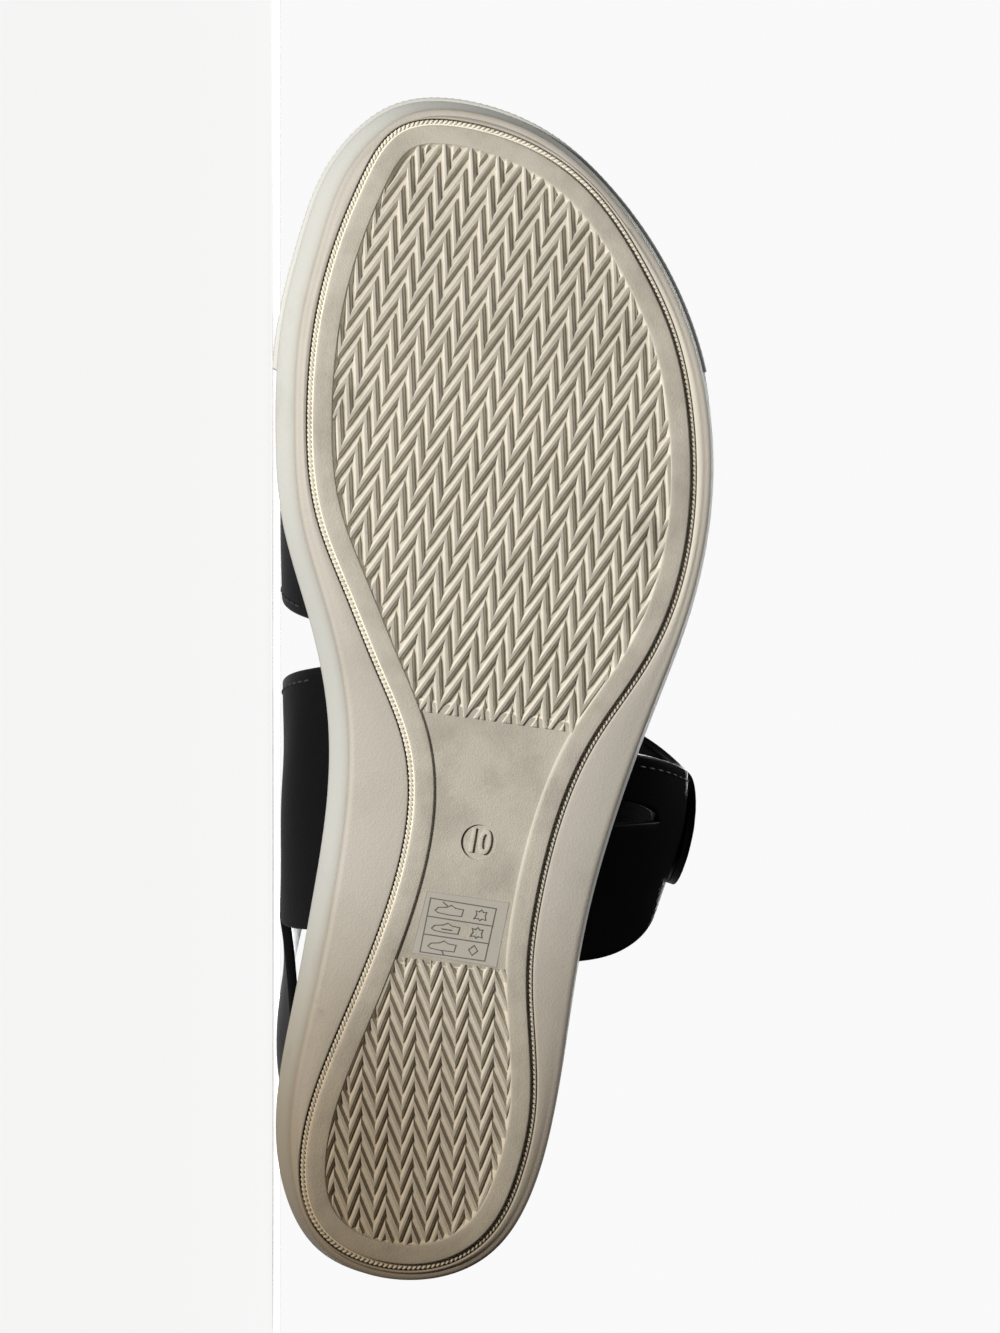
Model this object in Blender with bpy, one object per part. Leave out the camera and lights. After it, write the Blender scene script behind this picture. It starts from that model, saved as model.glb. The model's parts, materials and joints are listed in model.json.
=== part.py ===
"""Sport sandal for the left foot, lying on its inner side.

The shoe is worked out in its own frame, in millimetres: x towards the inner side of the foot, y from heel
to toe and z up from the ground that it would stand on. An empty then lays it down on its inner side, with
the sole's edge and the straps both on the floor, the toe towards -X and the outer side of the foot up.
"""

import math
from collections import namedtuple

import bpy
import numpy as np
from mathutils import Matrix

MM = 0.001

# Driving sizes, in millimetres
SOLE_LENGTH = 278.0
BALL_WIDTH = 103.0
HEEL_HEIGHT = 37.0
TOE_SPRING = 9.0
HEEL_LIFT = 1.0
WAIST_LIFT = 1.2
INSTEP_HEIGHT = 78.0

# Clearance between pieces that meet, round the footbed and between its seat and the straps' slots
GAP = 0.3
FOOTBED_CLEARANCE = 0.4
SEAT_RELIEF = 0.1

# Sole unit
FLARE_INNER = 4.6
FLARE_OUTER = 1.2
HEEL_FLARE_SHARE = 0.25
FULL_FLARE_FROM = 0.30
BORDER_LIFT = 0.8
SIDE_GROOVE = 0.9
BUMPER_STEP = 1.0
BUMPER_END = 0.77
RIM_EDGE = 0.7
SEAT_DEPTH = 5.0

# Outsole insert and its recessed panels
GROOVE_WIDTH = 1.6
GROOVE_DEPTH = 1.6
INSERT_THICKNESS = 4.6
FRAME_WIDTH = 4.5
TREAD_DEPTH = 1.7
WAIST_DEPTH = 0.9
SIZE_DISC_RADIUS = 4.2
SIZE_DISC_DEPTH = 0.7

# Footbed: how proud it stands of the rim, and the depth, middle and reach of its heel cup and arch
FOOTBED_PROUD = 1.2
HEEL_CUP = 3.0
HEEL_CUP_PLACE = 0.13
HEEL_CUP_REACH = 0.13
ARCH_RISE = 2.2
ARCH_PLACE = 0.42
ARCH_REACH = 0.12

# Straps
STRAP_WALL = 2.4
TAB_WALL = 2.0
SLOT_DEPTH = 6.0
SLOT_WALL = 2.0
SLOT_LIP = 1.0
HEEL_STRAP_HEIGHT = 23.0
HEEL_STRAP_LEAN = math.radians(12)
HEEL_STRAP_EASE = 0.22

# How finely the curved pieces are divided
RING_STEPS = 88
FOOTBED_COLUMNS = 6
PANEL_RUNGS = 22
HEEL_STRAP_COLUMNS = 22
DISC_STEPS = 24
TAB_COLUMNS = 5

# Small steps along an outline or a last, and the reach of a cutter past the face that it cuts
TURN_STEP = 0.0001
CRISP_STEP = 0.0005
LAST_STEP = 0.004
CUT_OVERRUN = 2.0

# Where the strap's middle and the footbed's edge lie, in from the sole's widest line
STRAP_INSET = SLOT_WALL + STRAP_WALL / 2
SEAT_INSET = SLOT_WALL + STRAP_WALL + SEAT_RELIEF
FOOTBED_INSET = SEAT_INSET + FOOTBED_CLEARANCE

# Outlines seen from below. Places along are shares of the sole's length, widths of the ball's width
Section = namedtuple("Section", "along inner outer")
Tip = namedtuple("Tip", "along side")
SOLE_TIPS = (Tip(0.0, 0.119), Tip(1.0, 0.069))
SOLE_SECTIONS = (
    Section(0.020, 0.304, 0.060),
    Section(0.060, 0.383, 0.149),
    Section(0.120, 0.417, 0.207),
    Section(0.180, 0.407, 0.238),
    Section(0.250, 0.372, 0.265),
    Section(0.320, 0.339, 0.300),
    Section(0.400, 0.308, 0.361),
    Section(0.480, 0.307, 0.437),
    Section(0.560, 0.351, 0.515),
    Section(0.640, 0.412, 0.562),
    Section(0.720, 0.430, 0.566),
    Section(0.800, 0.421, 0.522),
    Section(0.870, 0.380, 0.436),
    Section(0.930, 0.326, 0.316),
    Section(0.975, 0.238, 0.171),
)
INSERT_TIPS = (Tip(0.017, 0.111), Tip(0.978, 0.069))
INSERT_SECTIONS = (
    Section(0.030, 0.254, 0.017),
    Section(0.060, 0.333, 0.094),
    Section(0.100, 0.354, 0.138),
    Section(0.150, 0.334, 0.164),
    Section(0.210, 0.276, 0.161),
    Section(0.270, 0.210, 0.155),
    Section(0.330, 0.154, 0.176),
    Section(0.400, 0.117, 0.225),
    Section(0.460, 0.131, 0.298),
    Section(0.520, 0.195, 0.405),
    Section(0.580, 0.262, 0.478),
    Section(0.640, 0.325, 0.511),
    Section(0.720, 0.352, 0.512),
    Section(0.800, 0.339, 0.470),
    Section(0.860, 0.304, 0.396),
    Section(0.920, 0.244, 0.284),
    Section(0.960, 0.185, 0.135),
)

# Thickness of the sole along its length, in heel heights
Profile = namedtuple("Profile", "along thick")
SOLE_PROFILE = (
    Profile(0.00, 1.00),
    Profile(0.08, 1.00),
    Profile(0.25, 0.97),
    Profile(0.42, 0.84),
    Profile(0.58, 0.71),
    Profile(0.72, 0.63),
    Profile(0.85, 0.59),
    Profile(0.94, 0.56),
    Profile(1.00, 0.54),
)

# Where the underside leaves the ground, in shares of the sole's length
HEEL_FLAT_FROM = 0.07
WAIST_MIDDLE = 0.43
WAIST_REACH = 0.15
TOE_SPRING_FROM = 0.72

# Steps of the sole's side, bottom to top: height in shares of the sole's thickness there,
# how much of the flare is left, and what is set in besides
Step = namedtuple("Step", "height flare inset bumper")
SIDE_STEPS = (
    Step(0.08, 1.00, 0.7, 0.0),
    Step(0.14, 0.97, 0.0, 0.0),
    Step(0.33, 0.50, 0.0, 0.0),
    Step(0.46, 0.16, 0.0, 0.0),
    Step(0.52, 0.00, 0.0, 0.0),
    Step(0.54, 0.00, SIDE_GROOVE, 0.0),
    Step(0.58, 0.00, SIDE_GROOVE, 0.0),
    Step(0.60, 0.00, 0.1, 1.0),
    Step(0.88, 0.00, 0.2, 1.0),
    Step(0.90, 0.00, 0.3, 0.0),
    Step(0.97, 0.00, 0.4, 0.0),
    Step(1.00, 0.00, RIM_EDGE, 0.0),
)

# The last above the sole's rim: widest places and crown in ball widths, rises in instep heights
Last = namedtuple("Last", "along inner outer wide_rise crown crown_rise")
LAST_SECTIONS = (
    Last(0.22, 0.404, 0.380, 0.36, 0.01, 1.06),
    Last(0.30, 0.406, 0.465, 0.36, 0.00, 1.04),
    Last(0.38, 0.406, 0.530, 0.36, -0.01, 0.97),
    Last(0.46, 0.402, 0.530, 0.34, -0.02, 0.84),
    Last(0.54, 0.402, 0.525, 0.32, -0.02, 0.69),
    Last(0.62, 0.408, 0.560, 0.30, -0.01, 0.56),
    Last(0.72, 0.412, 0.575, 0.28, 0.00, 0.44),
    Last(0.82, 0.412, 0.528, 0.26, 0.02, 0.36),
    Last(0.88, 0.388, 0.455, 0.24, 0.03, 0.31),
)
SLOT_SHARE = 0.06
SPREAD_SHARE = 0.38
ROUNDNESS = 0.85

# Straps round the last: girth runs 0 at the inner sole edge, over the foot, to 1 at the outer edge
Strap = namedtuple("Strap", "girth rear split front")
VAMP_STRAP = (
    Strap(0.00, 0.551, 0.700, 0.833),
    Strap(0.20, 0.575, 0.705, 0.825),
    Strap(0.35, 0.600, 0.710, 0.815),
    Strap(0.50, 0.615, 0.710, 0.800),
    Strap(0.65, 0.605, 0.700, 0.795),
    Strap(0.80, 0.585, 0.690, 0.795),
    Strap(1.00, 0.565, 0.680, 0.795),
)
QUARTER_STRAP = (
    Strap(0.00, 0.295, 0.420, 0.520),
    Strap(0.19, 0.300, 0.420, 0.505),
    Strap(0.35, 0.340, 0.430, 0.487),
    Strap(0.50, 0.385, 0.445, 0.485),
    Strap(0.65, 0.360, 0.430, 0.465),
    Strap(0.81, 0.305, 0.390, 0.427),
    Strap(0.90, 0.272, 0.384, 0.436),
    Strap(1.00, 0.264, 0.380, 0.4475),
)
LEG_GAP_APEX = 0.90
LEG_GAP_WIDTH = 0.028
VAMP_COLUMNS = (4, 4)
QUARTER_COLUMNS = (4, 2)
GIRTHS = (0.00, 0.03, 0.07, 0.11, 0.15, 0.19, 0.23, 0.27, 0.31, 0.35, 0.40, 0.45, 0.50)
INNER_JOIN = (0.19, 0.31)
OUTER_JOIN = (0.69, 0.81)

# Heel strap between the quarters, inner side first: sideways in ball widths, rise in instep heights
Loop = namedtuple("Loop", "side along rise")
HEEL_LOOP = (
    Loop(0.396, 0.215, 0.52),
    Loop(0.375, 0.130, 0.50),
    Loop(0.290, 0.060, 0.49),
    Loop(0.110, 0.030, 0.49),
    Loop(-0.070, 0.065, 0.50),
    Loop(-0.165, 0.140, 0.53),
    Loop(-0.240, 0.220, 0.58),
    Loop(-0.300, 0.285, 0.65),
)

# Closure tab on the outer quarter
TAB_GIRTHS = (0.60, 0.65, 0.69, 0.73, 0.77, 0.79, 0.81)
TAB_MARGIN = 0.010
TAB_ROUND_FROM = 0.77
TAB_ROUND_SHARE = 0.9
TAB_CLEARANCE = 0.6

# Slanted ends of the recessed panels, inner side first, in shares of the sole's length. A panel stops
# short of the insert's tip by a share of its turn, and the waist reaches a little into both panels
FORE_PANEL = (0.484, 0.462)
HEEL_PANEL = (0.280, 0.265)
PANEL_TIP = 0.012
PANEL_LAP = 0.002
SIZE_DISC_PLACE = (0.373, -0.037)

# The straps that the lying shoe can rest on stand at least this far above the sole's edge
RESTING_STRAP_RISE = 25.0
SETTLING_ROUNDS = 8

# Colour, roughness and metallic value of each finish
Finish = namedtuple("Finish", "colour roughness metallic")
CREAM_RUBBER = Finish((0.55, 0.50, 0.41, 1), 0.62, 0.0)
CREAM_FOAM = Finish((0.60, 0.56, 0.47, 1), 0.70, 0.0)
BLACK_LEATHER = Finish((0.012, 0.012, 0.014, 1), 0.48, 0.0)
BLACK_LINING = Finish((0.020, 0.020, 0.022, 1), 0.80, 0.0)
CREASE_ANGLE = math.radians(35)


def curve(knots, values, at):
    """A natural cubic curve through the values, read at the places in at."""
    knots = np.asarray(knots, float)
    values = np.asarray(values, float)
    at = np.asarray(at, float)
    spans = np.diff(knots)
    slopes = np.diff(values) / spans
    count = len(knots)
    system = np.eye(count)
    steps = np.zeros(count)
    for i in range(1, count - 1):
        system[i, i - 1 : i + 2] = spans[i - 1], 2 * (spans[i - 1] + spans[i]), spans[i]
        steps[i] = 6 * (slopes[i] - slopes[i - 1])
    bends = np.linalg.solve(system, steps)
    i = np.clip(np.searchsorted(knots, at, side="right") - 1, 0, count - 2)
    ahead = at - knots[i]
    first = slopes[i] - spans[i] * (2 * bends[i] + bends[i + 1]) / 6
    third = (bends[i + 1] - bends[i]) / (6 * spans[i])
    return values[i] + ahead * (first + ahead * (bends[i] / 2 + ahead * third))


def column(table, name):
    """One named column of a table."""
    return [getattr(row, name) for row in table]


def read(table, name, at):
    """A named column of a table, read smoothly at the places in at."""
    return curve(column(table, table[0]._fields[0]), column(table, name), at)


class Outline:
    """A closed outline. Its turn runs 0 at the heel, up the inner side, 0.5 at the toe and back to 1."""

    def __init__(self, sections, tips):
        self.heel, self.toe = tips
        turns = [self.turn(row.along, True) for row in sections]
        inner = column(sections, "inner")
        outer = [-side for side in column(sections, "outer")]
        knots = [0.0] + turns + [0.5] + [1 - turn for turn in reversed(turns)]
        sides = [self.heel.side] + inner + [self.toe.side] + outer[::-1]
        knots = np.array(knots)
        self.knots = np.concatenate([knots - 1, knots, knots + 1])
        self.sides = np.array(sides * 3) * BALL_WIDTH

    def turn(self, along, inner):
        """The turn at a share of the sole's length, on the inner or the outer side."""
        reach = (along - self.heel.along) / (self.toe.along - self.heel.along)
        turn = math.acos(min(1.0, max(-1.0, 1 - 2 * reach))) / math.tau
        return turn if inner else 1 - turn

    def at(self, turns, inset=0.0):
        """Points (x, y) at the turns, moved in square to the outline by inset."""
        turns = np.asarray(turns, float)
        reach = (1 - np.cos(math.tau * turns)) / 2
        along = self.heel.along + (self.toe.along - self.heel.along) * reach
        points = np.stack([curve(self.knots, self.sides, turns), along * SOLE_LENGTH], axis=-1)
        return points - self.outward(turns) * np.reshape(inset, (-1, 1)) if np.any(inset) else points

    def outward(self, turns):
        """The unit direction that points out of the outline."""
        turns = np.asarray(turns)
        ahead = self.at(turns + TURN_STEP) - self.at(turns - TURN_STEP)
        ahead /= np.linalg.norm(ahead, axis=-1, keepdims=True)
        return np.stack([ahead[..., 1], -ahead[..., 0]], axis=-1)


SOLE = Outline(SOLE_SECTIONS, SOLE_TIPS)
INSERT = Outline(INSERT_SECTIONS, INSERT_TIPS)


def ground(y):
    """Height of the sole's underside: flat under heel and ball, raised at the back, the waist and the toe."""
    along = np.asarray(y) / SOLE_LENGTH
    back = np.maximum(0, 1 - along / HEEL_FLAT_FROM) ** 2
    toe = np.maximum(0, (along - TOE_SPRING_FROM) / (1 - TOE_SPRING_FROM)) ** 2
    waist = np.clip((along - WAIST_MIDDLE) / WAIST_REACH, -1, 1)
    return HEEL_LIFT * back + WAIST_LIFT * np.cos(waist * math.pi / 2) ** 2 + TOE_SPRING * toe


def thickness(y):
    """Height of the sole's side from its underside to its rim."""
    return HEEL_HEIGHT * read(SOLE_PROFILE, "thick", np.asarray(y) / SOLE_LENGTH)


def rim(y):
    """Height of the rim round the footbed."""
    return ground(y) + thickness(y)


def lifted(points, heights):
    """Points (x, y) with their heights added."""
    return np.column_stack([points, np.broadcast_to(heights, len(points))])


def ring_turns(*crisp):
    """Turns round a ring, the same on both sides, with a close pair at each crisp share of the length."""
    half = np.linspace(0, 0.5, RING_STEPS // 2 + 1)[1:-1]
    extra = [SOLE.turn(along, True) + step for along in crisp for step in (-CRISP_STEP, CRISP_STEP)]
    half = np.sort(np.concatenate([half, extra]))
    return np.concatenate([[0.0], half, [0.5], 1 - half[::-1]])


class Shell:
    """Points and faces of one closed piece, in the shoe's frame and in millimetres."""

    def __init__(self):
        self.points = []
        self.faces = []

    def add(self, points):
        """Adds points and gives their numbers."""
        first = len(self.points)
        self.points.extend(tuple(point) for point in np.asarray(points))
        return list(range(first, len(self.points)))

    def band(self, low, high):
        """Faces between two closed rings of as many points."""
        for i in range(len(low)):
            j = (i + 1) % len(low)
            self.faces.append((low[i], low[j], high[j], high[i]))

    def ladder(self, ring, up):
        """Closes a ring with one face for each pair of rungs, from the inner to the outer side."""
        count = len(ring)
        half = count // 2
        faces = [(0, 1, count - 1), (half - 1, half, half + 1)]
        faces += [(i, i + 1, count - i - 1, count - i) for i in range(1, half - 1)]
        for face in faces:
            face = face if up else face[::-1]
            self.faces.append(tuple(ring[i] for i in face))

    def crowned(self, ring, columns, height):
        """Closes a ring upwards with a grid whose inner points stand at height(x, y, share across)."""
        count = len(ring)
        half = count // 2
        rungs = []
        for i in range(1, half):
            inner = np.array(self.points[ring[i]])
            outer = np.array(self.points[ring[count - i]])
            shares = np.arange(1, columns) / columns
            points = inner + (outer - inner) * shares[:, None]
            points[:, 2] = height(points[:, 0], points[:, 1], shares)
            rungs.append([ring[i], *self.add(points), ring[count - i]])
        for rung, following in zip(rungs, rungs[1:]):
            for i in range(columns):
                self.faces.append((rung[i], following[i], following[i + 1], rung[i + 1]))
        for i in range(columns):
            self.faces.append((ring[0], rungs[0][i], rungs[0][i + 1]))
            self.faces.append((ring[half], rungs[-1][i + 1], rungs[-1][i]))

    def piece(self, name, finish):
        """The finished object."""
        mesh = bpy.data.meshes.new(name)
        mesh.from_pydata([[value * MM for value in point] for point in self.points], [], self.faces)
        mesh.validate()
        return finished(name, mesh, finish)


def finished(name, mesh, finish):
    """An object for a mesh, with its material and smooth shading."""
    material = bpy.data.materials.new(name)
    material.use_nodes = True
    surface = material.node_tree.nodes["Principled BSDF"]
    surface.inputs["Base Color"].default_value = finish.colour
    surface.inputs["Roughness"].default_value = finish.roughness
    surface.inputs["Metallic"].default_value = finish.metallic
    material.diffuse_color = finish.colour
    mesh.materials.append(material)
    mesh.shade_smooth()
    mesh.set_sharp_from_angle(angle=CREASE_ANGLE)
    piece = bpy.data.objects.new(name, mesh)
    bpy.context.scene.collection.objects.link(piece)
    return piece


def cut(piece, cutter):
    """Cuts the cutter's shape out of the piece."""
    cutter.hide_render = True
    cutter.display_type = "WIRE"
    difference = piece.modifiers.new(cutter.name, "BOOLEAN")
    difference.operation = "DIFFERENCE"
    difference.solver = "EXACT"
    difference.object = cutter


def flare(turns):
    """How far the sole's bottom edge stays in from its widest line: most on the inner side, least at the heel."""
    inner_share = (1 + SOLE.outward(turns)[:, 0]) / 2
    forward = np.minimum(1.0, SOLE.at(turns)[:, 1] / SOLE_LENGTH / FULL_FLARE_FROM)
    full = FLARE_OUTER + (FLARE_INNER - FLARE_OUTER) * inner_share
    return full * (HEEL_FLARE_SHARE + (1 - HEEL_FLARE_SHARE) * forward)


def side_ring(turns, step):
    """One ring of the sole's side."""
    y = SOLE.at(turns)[:, 1]
    bumper = np.where(y > BUMPER_END * SOLE_LENGTH, BUMPER_STEP, 0.0)
    inset = step.inset + step.flare * flare(turns) - step.bumper * bumper
    return lifted(SOLE.at(turns, inset), ground(y) + step.height * thickness(y))


def insert_ring(outward, above):
    """One ring round the insert, outward from the middle of its groove and above the ground."""
    turns = ring_turns()
    points = INSERT.at(turns, -outward)
    return lifted(points, ground(points[:, 1]) + above)


def sole_unit():
    """The wedge: pocket for the insert below, border, stepped side with toe bumper, rim and footbed seat."""
    shell = Shell()
    turns = ring_turns(BUMPER_END)
    pocket = INSERT.at(turns, -GROOVE_WIDTH / 2)
    floor = ground(pocket[:, 1])
    rings = [shell.add(lifted(pocket, floor + INSERT_THICKNESS + GAP))]
    rings.append(shell.add(lifted(pocket, floor + BORDER_LIFT)))
    for step in SIDE_STEPS:
        rings.append(shell.add(side_ring(turns, step)))
    seat = SOLE.at(turns, SEAT_INSET)
    rings.append(shell.add(lifted(seat, rim(seat[:, 1]))))
    rings.append(shell.add(lifted(seat, rim(seat[:, 1]) - SEAT_DEPTH)))
    shell.ladder(rings[0], up=False)
    for low, high in zip(rings, rings[1:]):
        shell.band(low, high)
    shell.ladder(rings[-1], up=True)
    return shell.piece("midsole", CREAM_FOAM)


def panel(name, inner_turns, outer_turns, depth):
    """A cutter for a recess in the insert, with a rung for each pair of turns."""
    shell = Shell()
    inset = GROOVE_WIDTH / 2 + FRAME_WIDTH
    inner = INSERT.at(inner_turns, inset)
    outer = INSERT.at(outer_turns, inset)
    around = np.concatenate([inner, outer[::-1]])
    low = shell.add(lifted(around, ground(around[:, 1]) - CUT_OVERRUN))
    high = shell.add(lifted(around, ground(around[:, 1]) + depth))
    shell.band(low, high)
    count = len(around)
    for i in range(len(inner) - 1):
        rung = (i, i + 1, count - i - 2, count - i - 1)
        shell.faces.append(tuple(high[j] for j in rung))
        shell.faces.append(tuple(low[j] for j in reversed(rung)))
    return shell.piece(name, CREAM_RUBBER)


def outsole():
    """The insert: a flat frame round two tread panels and the smooth waist, seated in the wedge's pocket."""
    shell = Shell()
    wide = GROOVE_WIDTH / 2 - GAP
    narrow = -GROOVE_WIDTH / 2
    rings = [
        shell.add(insert_ring(narrow - RIM_EDGE, 0.0)),
        shell.add(insert_ring(narrow, RIM_EDGE)),
        shell.add(insert_ring(narrow, GROOVE_DEPTH)),
        shell.add(insert_ring(wide, GROOVE_DEPTH)),
        shell.add(insert_ring(wide, INSERT_THICKNESS)),
    ]
    shell.ladder(rings[0], up=False)
    for low, high in zip(rings, rings[1:]):
        shell.band(low, high)
    shell.ladder(rings[-1], up=True)
    piece = shell.piece("outsole", CREAM_RUBBER)
    toe_turns = []
    heel_turns = []
    waist_turns = []
    for back, front, inner in zip(HEEL_PANEL, FORE_PANEL, (True, False)):
        toe = 0.5 - PANEL_TIP if inner else 0.5 + PANEL_TIP
        heel = PANEL_TIP if inner else 1 - PANEL_TIP
        toe_turns.append(np.linspace(INSERT.turn(front, inner), toe, PANEL_RUNGS))
        heel_turns.append(np.linspace(heel, INSERT.turn(back, inner), PANEL_RUNGS))
        ends = [INSERT.turn(along, inner) for along in (back - PANEL_LAP, front + PANEL_LAP)]
        waist_turns.append(np.linspace(*ends, PANEL_RUNGS // 2))
    cut(piece, panel("fore_recess", *toe_turns, TREAD_DEPTH))
    cut(piece, panel("heel_recess", *heel_turns, TREAD_DEPTH))
    cut(piece, panel("waist_recess", *waist_turns, WAIST_DEPTH))
    cut(piece, size_disc())
    return piece


def size_disc():
    """A cutter for the round recess of the size mark."""
    along, side = SIZE_DISC_PLACE
    centre = np.array([side * BALL_WIDTH, along * SOLE_LENGTH])
    angles = np.linspace(0, math.tau, DISC_STEPS, endpoint=False)
    around = centre + SIZE_DISC_RADIUS * np.stack([np.cos(angles), np.sin(angles)], axis=-1)
    floor = ground(centre[1])
    shell = Shell()
    low = shell.add(lifted(around, floor - CUT_OVERRUN))
    high = shell.add(lifted(around, floor + WAIST_DEPTH + SIZE_DISC_DEPTH))
    shell.band(low, high)
    shell.faces.append(tuple(high))
    shell.faces.append(tuple(reversed(low)))
    return shell.piece("size_disc_recess", CREAM_RUBBER)


def footbed():
    """The insole: a pad in the wedge's seat with a heel cup and a raised arch."""

    def height(x, y, across):
        along = y / SOLE_LENGTH
        cup = HEEL_CUP * np.exp(-((along - HEEL_CUP_PLACE) / HEEL_CUP_REACH) ** 2)
        arch = ARCH_RISE * np.exp(-((along - ARCH_PLACE) / ARCH_REACH) ** 2) * (1 - across) ** 2
        hollow = cup * (1 - (2 * across - 1) ** 2)
        return rim(y) + FOOTBED_PROUD - hollow + arch * np.sin(math.pi * across)

    shell = Shell()
    edge = SOLE.at(ring_turns(), FOOTBED_INSET)
    seat = rim(edge[:, 1]) - SEAT_DEPTH + GAP
    rings = [shell.add(lifted(edge, seat))]
    rings.append(shell.add(lifted(edge, rim(edge[:, 1]))))
    inner_edge = SOLE.at(ring_turns(), FOOTBED_INSET + FOOTBED_PROUD)
    rings.append(shell.add(lifted(inner_edge, rim(inner_edge[:, 1]) + FOOTBED_PROUD)))
    shell.ladder(rings[0], up=False)
    for low, high in zip(rings, rings[1:]):
        shell.band(low, high)
    shell.crowned(rings[-1], FOOTBED_COLUMNS, height)
    return shell.piece("footbed", BLACK_LINING)


def last_point(along, girth):
    """A point on the last, where the middle of a strap's wall runs."""
    inner = girth < 0.5
    climb = 1 - abs(2 * girth - 1)
    root = SOLE.at([SOLE.turn(along, inner)], STRAP_INSET)[0]
    wide = read(LAST_SECTIONS, "inner" if inner else "outer", along) * BALL_WIDTH
    wide = wide if inner else -wide
    crown = read(LAST_SECTIONS, "crown", along) * BALL_WIDTH
    edge = float(rim(root[1]))
    wide_height = edge + read(LAST_SECTIONS, "wide_rise", along) * INSTEP_HEIGHT
    crown_height = edge + read(LAST_SECTIONS, "crown_rise", along) * INSTEP_HEIGHT
    lip = edge + SLOT_LIP
    if climb <= SLOT_SHARE:
        return root[0], root[1], edge - SLOT_DEPTH + (SLOT_DEPTH + SLOT_LIP) * climb / SLOT_SHARE
    if climb <= SPREAD_SHARE:
        share = (climb - SLOT_SHARE) / (SPREAD_SHARE - SLOT_SHARE)
        return wide + (root[0] - wide) * (1 - share) ** 2, root[1], lip + (wide_height - lip) * share
    angle = (climb - SPREAD_SHARE) / (1 - SPREAD_SHARE) * math.pi / 2
    side = crown + (wide - crown) * max(0.0, math.cos(angle)) ** ROUNDNESS
    return side, root[1], wide_height + (crown_height - wide_height) * math.sin(angle) ** ROUNDNESS


class Sheet:
    """A strap's middle surface: named rows of points and the faces between them, given a wall at the end."""

    def __init__(self):
        self.shell = Shell()

    def rows(self, rows):
        """Adds rows of points and the faces between them, and gives the points' numbers."""
        numbers = [self.shell.add(row) for row in rows]
        self.join(numbers)
        return numbers

    def join(self, numbers):
        """Faces between rows of numbers."""
        for row, following in zip(numbers, numbers[1:]):
            for i in range(len(row) - 1):
                self.shell.faces.append((row[i], row[i + 1], following[i + 1], following[i]))

    def piece(self, name, wall, finish):
        """The strap, with half of its wall on each side of the sheet."""
        piece = self.shell.piece(name, finish)
        solid = piece.modifiers.new("wall", "SOLIDIFY")
        solid.thickness = wall * MM
        solid.offset = 0
        solid.use_even_offset = True
        return piece


def strap_row(table, girth, columns, gap=0.0, spare=0.0):
    """Points of one row: from the rear edge to the split, then from past the gap to the front edge."""
    rear = read(table, "rear", girth) - spare
    split = read(table, "split", girth)
    front = read(table, "front", girth) + spare
    back_part = np.linspace(rear, split, columns[0] + 1)
    front_part = np.linspace(split + gap, front, columns[1] + 1)
    return ([last_point(along, girth) for along in back_part],
            [last_point(along, girth) for along in front_part])


def full_girths():
    """Girth places of a strap's rows, from the inner slot to the outer one."""
    return [*GIRTHS, *(1 - girth for girth in GIRTHS[-2::-1])]


def slot_cutter(name, table, columns, outer):
    """A cutter for the slot of a strap's end, larger than the strap by the gap all round."""
    spare = GAP / SOLE_LENGTH
    girths = [1 - girth if outer else girth for girth in GIRTHS[:3]]
    rows = [np.array(sum(strap_row(table, girth, columns, 0.0, spare), [])) for girth in girths]
    rows = [np.delete(row, columns[0], axis=0) for row in rows]
    below = rows[0] - np.array([0, 0, GAP])
    sheet = Sheet()
    sheet.rows([below, *rows[1:]])
    return sheet.piece(name, STRAP_WALL + 2 * GAP, BLACK_LINING)


def vamp_strap():
    """The wide band over the toes' joints, from slot to slot."""
    sheet = Sheet()
    rows = []
    for girth in full_girths():
        back_part, front_part = strap_row(VAMP_STRAP, girth, VAMP_COLUMNS)
        rows.append(back_part + front_part[1:])
    sheet.rows(rows)
    return sheet.piece("vamp_strap", STRAP_WALL, BLACK_LEATHER)


def heel_columns(inner_edge, outer_edge):
    """Columns of the heel strap between the rear edges of the two quarters."""
    sides = np.array(column(HEEL_LOOP, "side")) * BALL_WIDTH
    places = np.array(column(HEEL_LOOP, "along")) * SOLE_LENGTH
    heights = rim(places) + np.array(column(HEEL_LOOP, "rise")) * INSTEP_HEIGHT
    route = np.column_stack([sides, places, heights])
    route = np.vstack([inner_edge.mean(axis=0), route, outer_edge.mean(axis=0)])
    reach = np.concatenate([[0], np.cumsum(np.linalg.norm(np.diff(route, axis=0), axis=1))])
    at = np.linspace(0, reach[-1], HEEL_STRAP_COLUMNS + 1)
    middle = np.column_stack([curve(reach, route[:, axis], at) for axis in range(3)])
    count = len(inner_edge)
    across = np.linspace(-0.5, 0.5, count)[:, None] * HEEL_STRAP_HEIGHT
    columns = []
    for i in range(1, HEEL_STRAP_COLUMNS):
        ahead = middle[i + 1] - middle[i - 1]
        inward = np.array([ahead[1], -ahead[0], 0.0])
        inward /= -np.linalg.norm(inward)
        up = math.cos(HEEL_STRAP_LEAN) * np.array([0, 0, 1.0]) + math.sin(HEEL_STRAP_LEAN) * inward
        up -= ahead * (up @ ahead) / (ahead @ ahead)
        plain = middle[i] + across * up / np.linalg.norm(up)
        share = at[i] / at[-1]
        near_inner = max(0.0, 1 - share / HEEL_STRAP_EASE) ** 2
        near_outer = max(0.0, 1 - (1 - share) / HEEL_STRAP_EASE) ** 2
        to_inner = near_inner * (inner_edge - inner_edge.mean(axis=0) - (plain - middle[i]))
        to_outer = near_outer * (outer_edge - outer_edge.mean(axis=0) - (plain - middle[i]))
        columns.append(plain + to_inner + to_outer)
    return columns


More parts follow.
